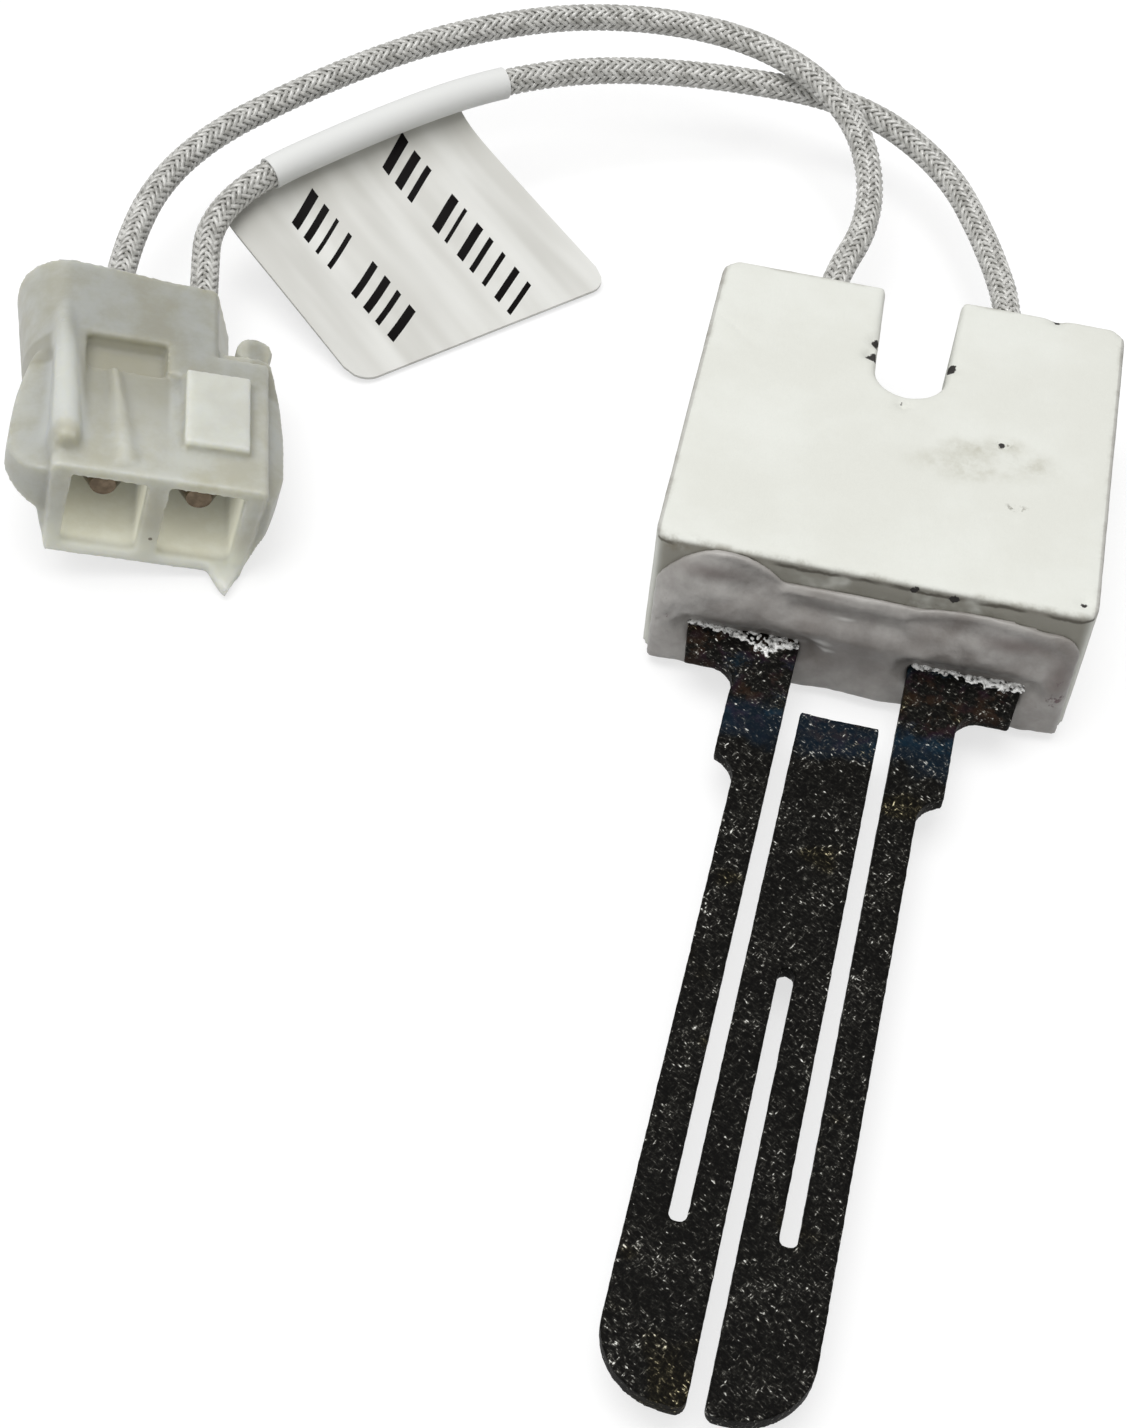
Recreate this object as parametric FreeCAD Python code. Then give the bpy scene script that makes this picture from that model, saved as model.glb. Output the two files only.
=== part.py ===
import FreeCAD, Part
import math
import os

# Hot surface igniter: a serpentine silicon carbide plate cemented into a ceramic block, with two
# braided leads that end in a two-way connector. Millimetres, +Z up. The origin is the centre of the
# block's underside, and the heating element points towards -Y.

V = FreeCAD.Vector
UP = V(0, 0, 1)

# Ceramic block
BLOCK_WIDTH = 28.4
BLOCK_DEPTH = 28.0
BLOCK_HEIGHT = 11.0
BLOCK_CORNER_RADIUS = 1.2
BLOCK_EDGE_RADIUS = 0.6

# Screw slot in the rear edge, a little narrower at its round end
SLOT_MOUTH_WIDTH = 5.4
SLOT_END_WIDTH = 4.8
SLOT_DEPTH = 10.6

# Potting pocket in the front face
POCKET_WIDTH = 23.6
POCKET_DEPTH = 12.0
POCKET_FLOOR = 1.8
POCKET_HEIGHT = 7.0

# Cement that bulges out of the pocket, in a high mound on the left and a lower one on the right
BULGE_SIDE = 1.9
BULGE_DROP = 1.2
BULGE_DEPTH = 1.3
BULGE_RADIUS = 0.7
BULGE_SHOULDER = 1.4
SHOULDER_SAG = 0.4
MOUND_LEFT_PLACE = -9.8
MOUND_LEFT_HALF_WIDTH = 4.2
MOUND_LEFT_RISE = 1.7
MOUND_RIGHT_PLACE = 7.4
MOUND_RIGHT_HALF_WIDTH = 4.2
MOUND_RIGHT_RISE = 0.7
MOUND_FOOT = 0.2
VALLEY_SWELL = 0.2

# Silicon carbide element, drawn about its own centre line
ELEMENT_THICKNESS = 1.15
ELEMENT_BOTTOM = 2.95
ELEMENT_LENGTH = 54.4
ELEMENT_EMBED = 8.0
ELEMENT_OFFSET = -0.23
ELEMENT_YAW = -1.32
TAB_HALF_SPAN = 11.05
TAB_REACH = 3.4
TAB_TAPER = 0.4
NECK_HALF_WIDTH = 7.3
NECK_END = 10.8
STEP_LENGTH = 1.7
BLADE_HALF_WIDTH = 5.83
ROOT_FILLET = 1.6
TIP_RADIUS = 4.2
TIP_INNER_RADIUS = 0.6
SIDE_SLOT_WIDTH = 1.05
SIDE_SLOT_CENTRE = 3.08
SIDE_SLOT_END = 43.9
CENTRE_SLOT_WIDTH = 1.0
CENTRE_SLOT_START = 25.9
BRIDGE_TOP = 6.35

# Leads: a stranded core in a woven sleeve
CORE_RADIUS = 0.5
BRAID_RADIUS = 1.02
BRAID_BORE_RADIUS = 0.54
LEAD_SPACING = 14.0
LEAD_HEIGHT = 5.5
BRAID_INSET = 4.5
LEAD_EXIT_RUN = 4.8
LEAD_CLEARANCE = 0.06

# Contact clips between the wires and the element's tabs
CLIP_SHEET = 0.3
CLIP_LENGTH = 5.0
CLIP_SETBACK = 1.0
CLIP_REACH = 5.6
CLIP_FIT = 0.02

# Connector: its own frame has x across, y from the mouth to the rear and z up from its underside
CONNECTOR_LEFT = 48.05
CONNECTOR_AHEAD = 16.62
CONNECTOR_LIFT = 1.5
CONNECTOR_YAW = 16.0
CONNECTOR_ROLL = 12.5
MOUTH_WIDTH = 13.2
MOUTH_OFFSET = 0.2
MOUTH_FLARE = 0.5
HOUSING_HEIGHT = 8.3
HOUSING_LENGTH = 20.3
HOUSING_EDGE_RADIUS = 0.5
SKIRT_START = 11.4
SKIRT_LEFT = 8.8
SKIRT_RIGHT = 5.1
SKIRT_SKEW = 0.9
SKIRT_END_SKEW = 1.3
SKIRT_ROUND_RADIUS = 3.8
SKIRT_EDGE_RADIUS = 0.6
SKIRT_TOP_RADIUS = 0.5
SKIRT_SLOPE = 1.5
SKIRT_SLOPE_START = 4.4
SOCKET_WIDTH = 4.9
SOCKET_OFFSET = 0.2
SOCKET_FLOOR = 1.0
SOCKET_HEIGHT = 6.4
SOCKET_DEPTH = 9.0
CONTACT_PITCH = 6.35
CONTACT_HEIGHT = 4.4
CONTACT_BORE_RADIUS = 1.45

# Wings along the sides; the right-hand one runs back to a round latch knob beside the skirt
WING_ROOT = 0.4
WING_BOW_LEFT = 3.2
WING_BOW_RIGHT = 1.75
WING_PEAK_LEFT = 4.2
WING_PEAK_RIGHT = 6.4
WING_ROUND = 0.3
WING_HIP = 0.9
WING_HIP_HEIGHT = 3.6
WING_DROP = 0.7
WING_LOW = 0.2
WING_WAIST = 4.4
WING_TOP = 6.6
WING_END_LEFT = 11.6
WING_END_RIGHT = 13.6
WING_TAIL_LEFT = 2.0
WING_TAIL_RIGHT = 0.75
KNOB_PLACE = 15.5
KNOB_CENTRE = 6.55
KNOB_RADIUS = 1.25
KNOB_FLOOR = 2.4

# Top of the housing
PAD_LENGTH = 6.9
PAD_WIDTH = 4.3
PAD_RISE = 0.75
PAD_START = 3.1
PAD_INSET = 0.95
PAD_EDGE_RADIUS = 0.15
RECESS_BRINK = 0.01
RECESS_SHALLOW = 0.45
RECESS_DEEP = 1.3
RECESS_START = 2.4
RECESS_STEP = 10.1
RECESS_END = 12.9
RECESS_LEFT = 5.1
RECESS_RIGHT = 0.3
RECESS_FLARE = 1.0
RIDGE_TIP = 16.0
RIDGE_FRONT = 1.6
RIDGE_WIDTH = 1.9
RIDGE_RISE = 0.7
RIDGE_CROWN = 0.5
RIDGE_LEAN = 0.5
RIDGE_TIP_RISE = 0.55
RIB_PLACE = 2.2
RIB_TIP = 10.0
RIB_FRONT = 1.0
RIB_WIDTH = 1.6
RIB_RISE = 0.2
RIB_LEAN = 0.9
RIB_TIP_RISE = 0.1
WEDGE_TIP_WIDTH = 0.5
WEDGE_DRAFT = 0.3
PRONG_PLACE = 4.5
PRONG_WIDTH = 2.3
PRONG_REACH = 2.3
PRONG_HEIGHT = 1.0

# Pin contacts
PIN_RADIUS = 1.05
PIN_TIP = 2.2
PIN_TIP_LENGTH = 1.6
PIN_TIP_RADIUS = 0.55
CRIMP_STRIP_WIDTH = 1.2
COLLAR_START = 9.6
COLLAR_LENGTH = 2.6
COLLAR_CLEARANCE = 0.08
CRIMP_START = 12.8
CRIMP_LENGTH = 2.8
CRIMP_WALL = 0.28
SLEEVE_CRIMP_START = 16.7
SLEEVE_CRIMP_LENGTH = 2.0
BRAID_END = 16.3
BRAID_END_GAP = 0.2

# Flag label
LABEL_FILM = 0.16
LABEL_WIDTH = 20.6
LABEL_LEFT = 9.6
LABEL_FIT = 0.04
FLAG_FILM = 0.26
FLAG_WIDTH = 21.0
FLAG_SHIFT = -4.3
FLAG_SKEW = 13.0
FLAG_REACH = 16.5
FLAG_CORNER_RADIUS = 1.4
FLAG_KNEE_REACH = 3.6
FLAG_KNEE_HEIGHT = 4.6
FLAG_END_HEIGHT = 0.3

# How far a cutting body reaches past the face it cuts
THROUGH = 1.0

FRONT = -BLOCK_DEPTH / 2
REAR = BLOCK_DEPTH / 2
BORE_FLOOR = FRONT + POCKET_DEPTH


def block(x0, x1, y0, y1, z0, z1):
    return Part.makeBox(x1 - x0, y1 - y0, z1 - z0, V(x0, y0, z0))


def rod(radius, start, end):
    run = end - start
    return Part.makeCylinder(radius, run.Length, start, run)


def edges_along(shape, direction, test=lambda middle: True):
    found = []
    for edge in shape.Edges:
        if edge.Curve.TypeId != "Part::GeomLine":
            continue
        run = edge.Vertexes[-1].Point - edge.Vertexes[0].Point
        if run.cross(direction).Length < 1e-6 * run.Length and test(edge.CenterOfMass):
            found.append(edge)
    return found


def outline(steps):
    """A closed flat face from points; a pair of points is an arc through the first to the second."""
    edges = []
    here = steps[0]
    for step in steps[1:] + [steps[0]]:
        if isinstance(step, tuple):
            edges.append(Part.Arc(here, step[0], step[1]).toShape())
            here = step[1]
        elif (step - here).Length > 1e-7:
            edges.append(Part.LineSegment(here, step).toShape())
            here = step
    return Part.Face(Part.Wire(edges))


def rounded_path(points, before_start=0.0, past_end=0.0):
    """Straight runs joined by tangent arcs, as large as their two runs allow. The first and last
    run can be lengthened outwards without a change to the arcs."""
    edges = []
    radii = []
    first = points[0] - points[1]
    last = points[-1] - points[-2]
    here = points[0] + first * (before_start / first.Length)
    for before, corner, after in zip(points, points[1:], points[2:]):
        back = before - corner
        ahead = after - corner
        tangent = 0.45 * min(back.Length, ahead.Length)
        turn = math.pi - back.getAngle(ahead)
        radii.append(tangent / math.tan(turn / 2))
        back.normalize()
        ahead.normalize()
        start = corner + back * tangent
        end = corner + ahead * tangent
        inward = back + ahead
        inward.normalize()
        centre = corner + inward * (tangent / math.sin(turn / 2))
        middle = centre - inward * radii[-1]
        edges.append(Part.LineSegment(here, start).toShape())
        edges.append(Part.Arc(start, middle, end).toShape())
        here = end
    end = points[-1] + last * (past_end / last.Length)
    edges.append(Part.LineSegment(here, end).toShape())
    return Part.Wire(edges), radii


def tube(path, radius):
    start = path.Edges[0].Vertexes[0].Point
    heading = path.Edges[0].tangentAt(path.Edges[0].FirstParameter)
    ring = Part.Wire(Part.makeCircle(radius, start, heading))
    return path.makePipeShell([ring], True, False)


# The ceramic block

def screw_slot():
    mouth = SLOT_MOUTH_WIDTH / 2
    inner = SLOT_END_WIDTH / 2
    spring = REAR - SLOT_DEPTH + inner
    face = outline([
        V(-mouth, REAR + THROUGH, -THROUGH), V(-mouth, REAR, -THROUGH),
        V(-inner, spring, -THROUGH),
        (V(0, spring - inner, -THROUGH), V(inner, spring, -THROUGH)),
        V(mouth, REAR, -THROUGH), V(mouth, REAR + THROUGH, -THROUGH)])
    return face.extrude(V(0, 0, BLOCK_HEIGHT + 2 * THROUGH))


def pocket():
    half = POCKET_WIDTH / 2
    return block(-half, half, FRONT, BORE_FLOOR, POCKET_FLOOR, POCKET_FLOOR + POCKET_HEIGHT)


def lead_place(side):
    return side * LEAD_SPACING / 2


def ceramic_block():
    half = BLOCK_WIDTH / 2
    body = block(-half, half, FRONT, REAR, 0, BLOCK_HEIGHT)
    body = body.makeFillet(BLOCK_CORNER_RADIUS, edges_along(body, UP))
    body = body.cut(screw_slot())
    top = [e for e in body.Edges if e.CenterOfMass.z > BLOCK_HEIGHT - 1e-6]
    body = body.makeFillet(BLOCK_EDGE_RADIUS, top)
    body = body.cut(pocket())
    for side in (-1, 1):
        x = lead_place(side)
        sleeve = rod(BRAID_RADIUS + LEAD_CLEARANCE,
                     V(x, REAR - BRAID_INSET, LEAD_HEIGHT), V(x, REAR + THROUGH, LEAD_HEIGHT))
        wire = rod(CORE_RADIUS + LEAD_CLEARANCE,
                   V(x, BORE_FLOOR - THROUGH, LEAD_HEIGHT), V(x, REAR, LEAD_HEIGHT))
        body = body.cut(sleeve).cut(wire)
    return body


# The silicon carbide element

def in_element_place(shape):
    shape.translate(V(ELEMENT_OFFSET, FRONT, 0))
    shape.rotate(V(0, FRONT, 0), UP, ELEMENT_YAW)
    return shape


def blade_outline():
    z = ELEMENT_BOTTOM
    right = [
        V(0, ELEMENT_EMBED, z),
        V(TAB_HALF_SPAN, ELEMENT_EMBED, z),
        V(TAB_HALF_SPAN, 0, z),
        V(TAB_HALF_SPAN - TAB_TAPER, -TAB_REACH, z),
        V(NECK_HALF_WIDTH + ROOT_FILLET, -TAB_REACH, z),
        V(NECK_HALF_WIDTH, -TAB_REACH - ROOT_FILLET, z),
        V(NECK_HALF_WIDTH, -NECK_END, z),
        V(BLADE_HALF_WIDTH, -NECK_END - STEP_LENGTH, z),
        V(BLADE_HALF_WIDTH, -ELEMENT_LENGTH + TIP_RADIUS, z),
        V(BLADE_HALF_WIDTH - TIP_RADIUS, -ELEMENT_LENGTH, z)]
    sag = math.sqrt(0.5)
    root = V(NECK_HALF_WIDTH + ROOT_FILLET * (1 - sag), -TAB_REACH - ROOT_FILLET * (1 - sag), z)
    step = V((NECK_HALF_WIDTH + BLADE_HALF_WIDTH) / 2 - STEP_LENGTH / 8,
             -NECK_END - STEP_LENGTH * 3 / 8, z)
    tip = V(BLADE_HALF_WIDTH - TIP_RADIUS * (1 - sag), -ELEMENT_LENGTH + TIP_RADIUS * (1 - sag), z)
    middles = {5: root, 7: step, 9: tip}

    def mirrored(p):
        return V(-p.x, p.y, p.z)

    steps = [right[0]]
    for i, point in enumerate(right[1:], 1):
        steps.append((middles[i], point) if i in middles else point)
    for i in range(len(right) - 1, 0, -1):
        point = mirrored(right[i])
        steps.append((mirrored(middles[i + 1]), point) if i + 1 in middles else point)
    return outline(steps)


def slot_cutter(x, y_open, y_round, width, z0, z1):
    """A straight slot open at y_open and rounded at y_round."""
    half = width / 2
    way = 1 if y_open > y_round else -1
    spring = y_round + way * half
    face = outline([
        V(x - half, y_open, z0), V(x - half, spring, z0),
        (V(x, y_round, z0), V(x + half, spring, z0)), V(x + half, y_open, z0)])
    return face.extrude(V(0, 0, z1 - z0))


def silicon_carbide_element():
    z0 = ELEMENT_BOTTOM
    z1 = ELEMENT_BOTTOM + ELEMENT_THICKNESS
    plate = blade_outline().extrude(V(0, 0, ELEMENT_THICKNESS))
    window = SIDE_SLOT_CENTRE + SIDE_SLOT_WIDTH / 2
    plate = plate.cut(block(-window, window, -BRIDGE_TOP, ELEMENT_EMBED + THROUGH,
                          z0 - THROUGH, z1 + THROUGH))
    for side in (-1, 1):
        plate = plate.cut(slot_cutter(side * SIDE_SLOT_CENTRE, -BRIDGE_TOP + THROUGH,
                                      -SIDE_SLOT_END, SIDE_SLOT_WIDTH, z0 - THROUGH, z1 + THROUGH))
    plate = plate.cut(slot_cutter(0, -ELEMENT_LENGTH - THROUGH, -CENTRE_SLOT_START,
                                  CENTRE_SLOT_WIDTH, z0 - THROUGH, z1 + THROUGH))
    inner = edges_along(plate, UP, lambda m: abs(abs(m.x) - CENTRE_SLOT_WIDTH / 2) < 0.01
                        and m.y < -ELEMENT_LENGTH + 0.01)
    plate = plate.makeFillet(TIP_INNER_RADIUS, inner)
    return in_element_place(plate)


# Contact clips: a sheet folded round the inner edge of a tab, with a barrel round the wire

def contact_clip(side):
    inner_edge = SIDE_SLOT_CENTRE + SIDE_SLOT_WIDTH / 2
    wall = inner_edge - CLIP_FIT - CLIP_SHEET
    y1 = ELEMENT_EMBED - CLIP_SETBACK
    y0 = y1 - CLIP_LENGTH
    low = ELEMENT_BOTTOM - CLIP_FIT
    high = ELEMENT_BOTTOM + ELEMENT_THICKNESS + CLIP_FIT
    fold = block(wall, wall + CLIP_SHEET + CLIP_REACH, y0, y1, low - CLIP_SHEET, high + CLIP_SHEET)
    fold = fold.cut(block(wall + CLIP_SHEET, wall + CLIP_SHEET + CLIP_REACH + THROUGH,
                          y0 - THROUGH, y1 + THROUGH, low, high))
    if side < 0:
        fold = fold.mirror(V(0, 0, 0), V(1, 0, 0))
    fold = in_element_place(fold)
    x = lead_place(side)
    start = V(x, FRONT + y0, LEAD_HEIGHT)
    end = V(x, FRONT + y1, LEAD_HEIGHT)
    barrel_radius = CORE_RADIUS + CLIP_FIT + CLIP_SHEET
    web = block(x - CLIP_SHEET / 2, x + CLIP_SHEET / 2, start.y, end.y,
                high + CLIP_SHEET / 2, LEAD_HEIGHT)
    clip = fold.fuse(rod(barrel_radius, start, end)).fuse(web)
    past = V(0, THROUGH, 0)
    return clip.cut(rod(CORE_RADIUS + CLIP_FIT, start - past, end + past)).removeSplitter()


# Connector frame

def connector_place():
    turn = FreeCAD.Rotation(UP, CONNECTOR_YAW).multiply(
        FreeCAD.Rotation(V(0, 1, 0), CONNECTOR_ROLL))
    return FreeCAD.Placement(V(-CONNECTOR_LEFT, -CONNECTOR_AHEAD, CONNECTOR_LIFT), turn)


def to_world(point):
    return connector_place().multVec(point)


def in_connector_place(shape):
    shape.Placement = connector_place().multiply(shape.Placement)
    return shape


def contact_axis(side, y):
    return V(side * CONTACT_PITCH / 2, y, CONTACT_HEIGHT)


# Lead routes, from the stop in the block's rear hole to the sleeve's end in the connector

ROUTE_LEFT = [
    V(-4.4, 28.0, 6.4), V(-7.6, 37.6, 8.2), V(-16.2, 43.5, 8.9), V(-28.0, 43.3, 9.0),
    V(-38.6, 38.4, 8.6), V(-47.6, 30.2, 8.0), V(-56.4, 18.8, 7.2)]
ROUTE_RIGHT = [
    V(4.2, 27.6, 5.5), V(0.0, 36.2, 5.5), V(-7.8, 42.2, 5.6), V(-18.6, 40.4, 7.0),
    V(-27.6, 37.0, 8.2), V(-35.0, 32.2, 8.7), V(-42.3, 24.9, 8.6), V(-52.3, 14.6, 7.1)]
LAST_BEND_LEFT = 4.0
LAST_BEND_RIGHT = 2.0


def lead_points(side):
    x = lead_place(side)
    start = V(x, REAR - BRAID_INSET, LEAD_HEIGHT)
    leave = V(x, REAR + LEAD_EXIT_RUN, LEAD_HEIGHT)
    middle = ROUTE_LEFT if side < 0 else ROUTE_RIGHT
    behind = LAST_BEND_LEFT if side < 0 else LAST_BEND_RIGHT
    bend = to_world(contact_axis(side, HOUSING_LENGTH + behind))
    end = to_world(contact_axis(side, BRAID_END))
    return [start, leave] + middle + [bend, end]


def lead_core(side):
    clip_front = FRONT + ELEMENT_EMBED - CLIP_SETBACK - CLIP_LENGTH
    path, radii = rounded_path(lead_points(side), REAR - BRAID_INSET - clip_front,
                               BRAID_END - CRIMP_START)
    return tube(path, CORE_RADIUS)


def lead_braid(side):
    path, radii = rounded_path(lead_points(side))
    print("lead", side, "length", round(path.Length, 1), "radii", [round(r, 1) for r in radii])
    return tube(path, BRAID_RADIUS).cut(tube(path, BRAID_BORE_RADIUS))


# Potting cement

def bulge_outline():
    """The bulge's outline on the front face: square at the foot, with two mounds along the top."""
    y = FRONT - BULGE_DEPTH
    half = POCKET_WIDTH / 2 + BULGE_SIDE
    foot = POCKET_FLOOR - BULGE_DROP
    brim = POCKET_FLOOR + POCKET_HEIGHT
    left, right = MOUND_LEFT_PLACE, MOUND_RIGHT_PLACE
    left_end = left + MOUND_LEFT_HALF_WIDTH
    right_start = right - MOUND_RIGHT_HALF_WIDTH
    low = brim + MOUND_FOOT
    shoulder = brim - BULGE_SHOULDER
    sag = (brim + shoulder) / 2 + SHOULDER_SAG

    def at(x, z):
        return V(x, y, z)

    return outline([
        at(-half, foot), at(half, foot), at(half, shoulder),
        (at(half - SHOULDER_SAG, sag), at(right + MOUND_RIGHT_HALF_WIDTH, low)),
        (at(right, brim + MOUND_RIGHT_RISE), at(right_start, low)),
        (at((left_end + right_start) / 2, low + VALLEY_SWELL), at(left_end, low)),
        (at(left, brim + MOUND_LEFT_RISE), at(-half, shoulder))])


def pocket_cement():
    fill = pocket()
    bulge = bulge_outline().extrude(V(0, BULGE_DEPTH, 0))
    rim = [e for e in bulge.Edges if e.CenterOfMass.y < FRONT - BULGE_DEPTH + 1e-6]
    bulge = bulge.makeFillet(min(BULGE_RADIUS, BULGE_DEPTH * 0.95), rim)
    body = fill.fuse(bulge).removeSplitter()
    body = body.cut(silicon_carbide_element())
    for side in (-1, 1):
        x = lead_place(side)
        body = body.cut(contact_clip(side))
        body = body.cut(rod(CORE_RADIUS + CLIP_FIT, V(x, FRONT + ELEMENT_EMBED - CLIP_SETBACK
                            - CLIP_LENGTH, LEAD_HEIGHT), V(x, REAR, LEAD_HEIGHT)))
    return body


# Connector housing

def front_section():
    """The housing's section at the mouth, which is wider at the top, as points."""
    half = MOUTH_WIDTH / 2
    top = half + MOUTH_FLARE
    return [V(MOUTH_OFFSET - half, 0, 0), V(MOUTH_OFFSET + half, 0, 0),
            V(MOUTH_OFFSET + top, 0, HOUSING_HEIGHT), V(MOUTH_OFFSET - top, 0, HOUSING_HEIGHT)]


def front_body():
    body = outline(front_section()).extrude(V(0, SKIRT_START + THROUGH, 0))
    long_edges = [e for e in body.Edges
                  if abs(e.Vertexes[0].Point.y - e.Vertexes[-1].Point.y) > SKIRT_START]
    return body.makeFillet(HOUSING_EDGE_RADIUS, long_edges)


def skirt():
    """The rear of the housing: skewed in plan and round on the left, which keys the connector."""
    left, right = -SKIRT_LEFT, SKIRT_RIGHT
    start = SKIRT_START
    end = HOUSING_LENGTH
    face = outline([
        V(left, start, 0), V(right, start, 0), V(right, end - SKIRT_END_SKEW, 0),
        V(left - SKIRT_SKEW, end, 0)])
    shell = face.extrude(V(0, 0, HOUSING_HEIGHT))
    left_side = V(-SKIRT_SKEW, end - start, 0)
    radius = min(SKIRT_ROUND_RADIUS, HOUSING_HEIGHT / 2 - 0.1)
    shell = shell.makeFillet(radius, edges_along(shell, left_side))
    slope = outline([
        V(right, start, SKIRT_SLOPE_START), V(right - SKIRT_SLOPE, start, HOUSING_HEIGHT),
        V(right, start, HOUSING_HEIGHT)])
    shell = shell.cut(slope.extrude(V(0, end - start, 0)))
    top_right = [e for e in edges_along(shell, V(0, 1, 0))
                 if e.CenterOfMass.z > HOUSING_HEIGHT - 1e-6]
    shell = shell.makeFillet(SKIRT_TOP_RADIUS, top_right)
    foot_right = [e for e in edges_along(shell, V(0, 1, 0)) if e.CenterOfMass.z < 1e-6]
    return shell.makeFillet(SKIRT_EDGE_RADIUS, foot_right)


def wing(side):
    """A bowed wing: its plan outline meets a section that is widest at the waist."""
    half = MOUTH_WIDTH / 2
    bow = WING_BOW_RIGHT if side > 0 else WING_BOW_LEFT
    peak_place = WING_PEAK_RIGHT if side > 0 else WING_PEAK_LEFT
    end = WING_END_RIGHT if side > 0 else WING_END_LEFT
    peak = half + bow
    hip = half + WING_HIP
    tail = half + (WING_TAIL_RIGHT if side > 0 else WING_TAIL_LEFT)
    early = WING_ROOT + (peak_place - WING_ROOT) * WING_ROUND
    late = (peak_place + end) / 2
    plan = outline([
        V(0, WING_ROOT, 0), V(hip, WING_ROOT, 0),
        (V(hip + (peak - hip) * (1 - WING_ROUND), early, 0), V(peak, peak_place, 0)),
        (V(peak + (tail - peak) * WING_ROUND, late, 0), V(tail, end, 0)), V(0, end, 0)])
    section = outline([
        V(0, 0, WING_LOW), V(half, 0, WING_LOW), V(hip, 0, WING_HIP_HEIGHT),
        V(peak, 0, WING_WAIST), V(peak, 0, WING_TOP), V(half, 0, HOUSING_HEIGHT - WING_DROP),
        V(0, 0, HOUSING_HEIGHT - WING_DROP)])
    shape = plan.extrude(UP * HOUSING_HEIGHT).common(section.extrude(V(0, end, 0)))
    if side < 0:
        shape = shape.mirror(V(0, 0, 0), V(1, 0, 0))
    shape.translate(V(MOUTH_OFFSET, 0, 0))
    return shape


def latch_knob():
    """The round end of the right-hand wing, on a neck that stands clear of the skirt."""
    base = V(KNOB_CENTRE, KNOB_PLACE, KNOB_FLOOR)
    height = WING_TOP - KNOB_FLOOR
    knob = Part.makeCylinder(KNOB_RADIUS, height, base)
    tail = MOUTH_OFFSET + MOUTH_WIDTH / 2 + WING_TAIL_RIGHT
    neck = block(KNOB_CENTRE - KNOB_RADIUS / 2, min(tail, KNOB_CENTRE + KNOB_RADIUS * 0.8),
                 WING_END_RIGHT - THROUGH, KNOB_PLACE, KNOB_FLOOR, WING_TOP)
    return knob.fuse(neck)


def wedge(place, lean, width, tip, front, low, tip_rise, high, crown):
    """A rib that is a point at the rear and grows wider and higher towards the mouth."""
    def ring(y, half, foot, top):
        x = place + lean * (y - front) / (tip - front)
        return outline([V(x - half, y, foot), V(x + half, y, foot),
                        V(x + half * (1 - WEDGE_DRAFT), y, top),
                        V(x - half * (1 - WEDGE_DRAFT), y, top)]).OuterWire

    tip_ring = ring(tip, WEDGE_TIP_WIDTH / 2, low, low + tip_rise)
    front_ring = ring(front, width / 2, low, high)
    body = Part.makeLoft([tip_ring, front_ring], True, True)
    if crown > 0:
        middle = front + (tip - front) / 2
        body = body.fuse(Part.makeLoft([
            ring(middle, WEDGE_TIP_WIDTH / 2, low, low + tip_rise),
            ring(front, width * 0.7 / 2, low, high + crown)], True, True))
    return body


def top_recess():
    """The hollow in the top: shallow near the mouth, with a step down to a deep rear end."""
    top = HOUSING_HEIGHT
    left, right = -RECESS_LEFT, RECESS_RIGHT

    def band(y0, y1, depth0, depth1, flare):
        face = outline([V(left, y0, top - depth0), V(left, y1, top - depth1),
                        V(left, y1, top + THROUGH), V(left, y0, top + THROUGH)])
        return face.extrude(V(right + flare - left, 0, 0))

    shallow = band(RECESS_START, RECESS_STEP, RECESS_BRINK, RECESS_SHALLOW, RECESS_FLARE)
    deep = band(RECESS_STEP, RECESS_END, RECESS_DEEP, RECESS_DEEP, 0)
    return shallow.fuse(deep)


def raised_pad():
    right = MOUTH_OFFSET + MOUTH_WIDTH / 2 - PAD_INSET
    pad = block(right - PAD_WIDTH, right, PAD_START, PAD_START + PAD_LENGTH,
                HOUSING_HEIGHT - RECESS_DEEP, HOUSING_HEIGHT + PAD_RISE)
    crown = [e for e in pad.Edges if e.CenterOfMass.z > HOUSING_HEIGHT + PAD_RISE - 1e-6]
    return pad.makeFillet(PAD_EDGE_RADIUS, crown)


def prong():
    left = PRONG_PLACE
    face = outline([
        V(left, 0, 0), V(left + PRONG_WIDTH * 0.2, -PRONG_REACH * 0.5, 0),
        V(left + PRONG_WIDTH * 0.55, -PRONG_REACH, 0),
        V(left + PRONG_WIDTH * 0.85, -PRONG_REACH * 0.2, 0), V(left + PRONG_WIDTH, 0, 0)])
    return face.extrude(UP * PRONG_HEIGHT)


def connector_housing():
    top = HOUSING_HEIGHT
    ridge_right = -RECESS_LEFT
    body = front_body().fuse(skirt()).fuse(wing(1)).fuse(wing(-1)).fuse(latch_knob())
    body = body.cut(top_recess()).fuse(raised_pad()).fuse(prong())
    body = body.fuse(wedge(ridge_right - RIDGE_WIDTH / 2, -RIDGE_LEAN, RIDGE_WIDTH, RIDGE_TIP,
                           RIDGE_FRONT, top - RIDGE_RISE, RIDGE_TIP_RISE, top + RIDGE_RISE,
                           RIDGE_CROWN))
    body = body.fuse(wedge(-RIB_PLACE, -RIB_LEAN, RIB_WIDTH, RIB_TIP, RIB_FRONT,
                           top - RECESS_SHALLOW, RIB_TIP_RISE, top + RIB_RISE, 0))
    for side in (-1, 1):
        x = side * CONTACT_PITCH / 2 + SOCKET_OFFSET
        socket = block(x - SOCKET_WIDTH / 2, x + SOCKET_WIDTH / 2, -THROUGH, SOCKET_DEPTH,
                       SOCKET_FLOOR, SOCKET_FLOOR + SOCKET_HEIGHT)
        bore = rod(CONTACT_BORE_RADIUS, contact_axis(side, SOCKET_DEPTH - THROUGH),
                   contact_axis(side, HOUSING_LENGTH + THROUGH))
        body = body.cut(socket).cut(bore)
    return in_connector_place(body.removeSplitter())


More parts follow.
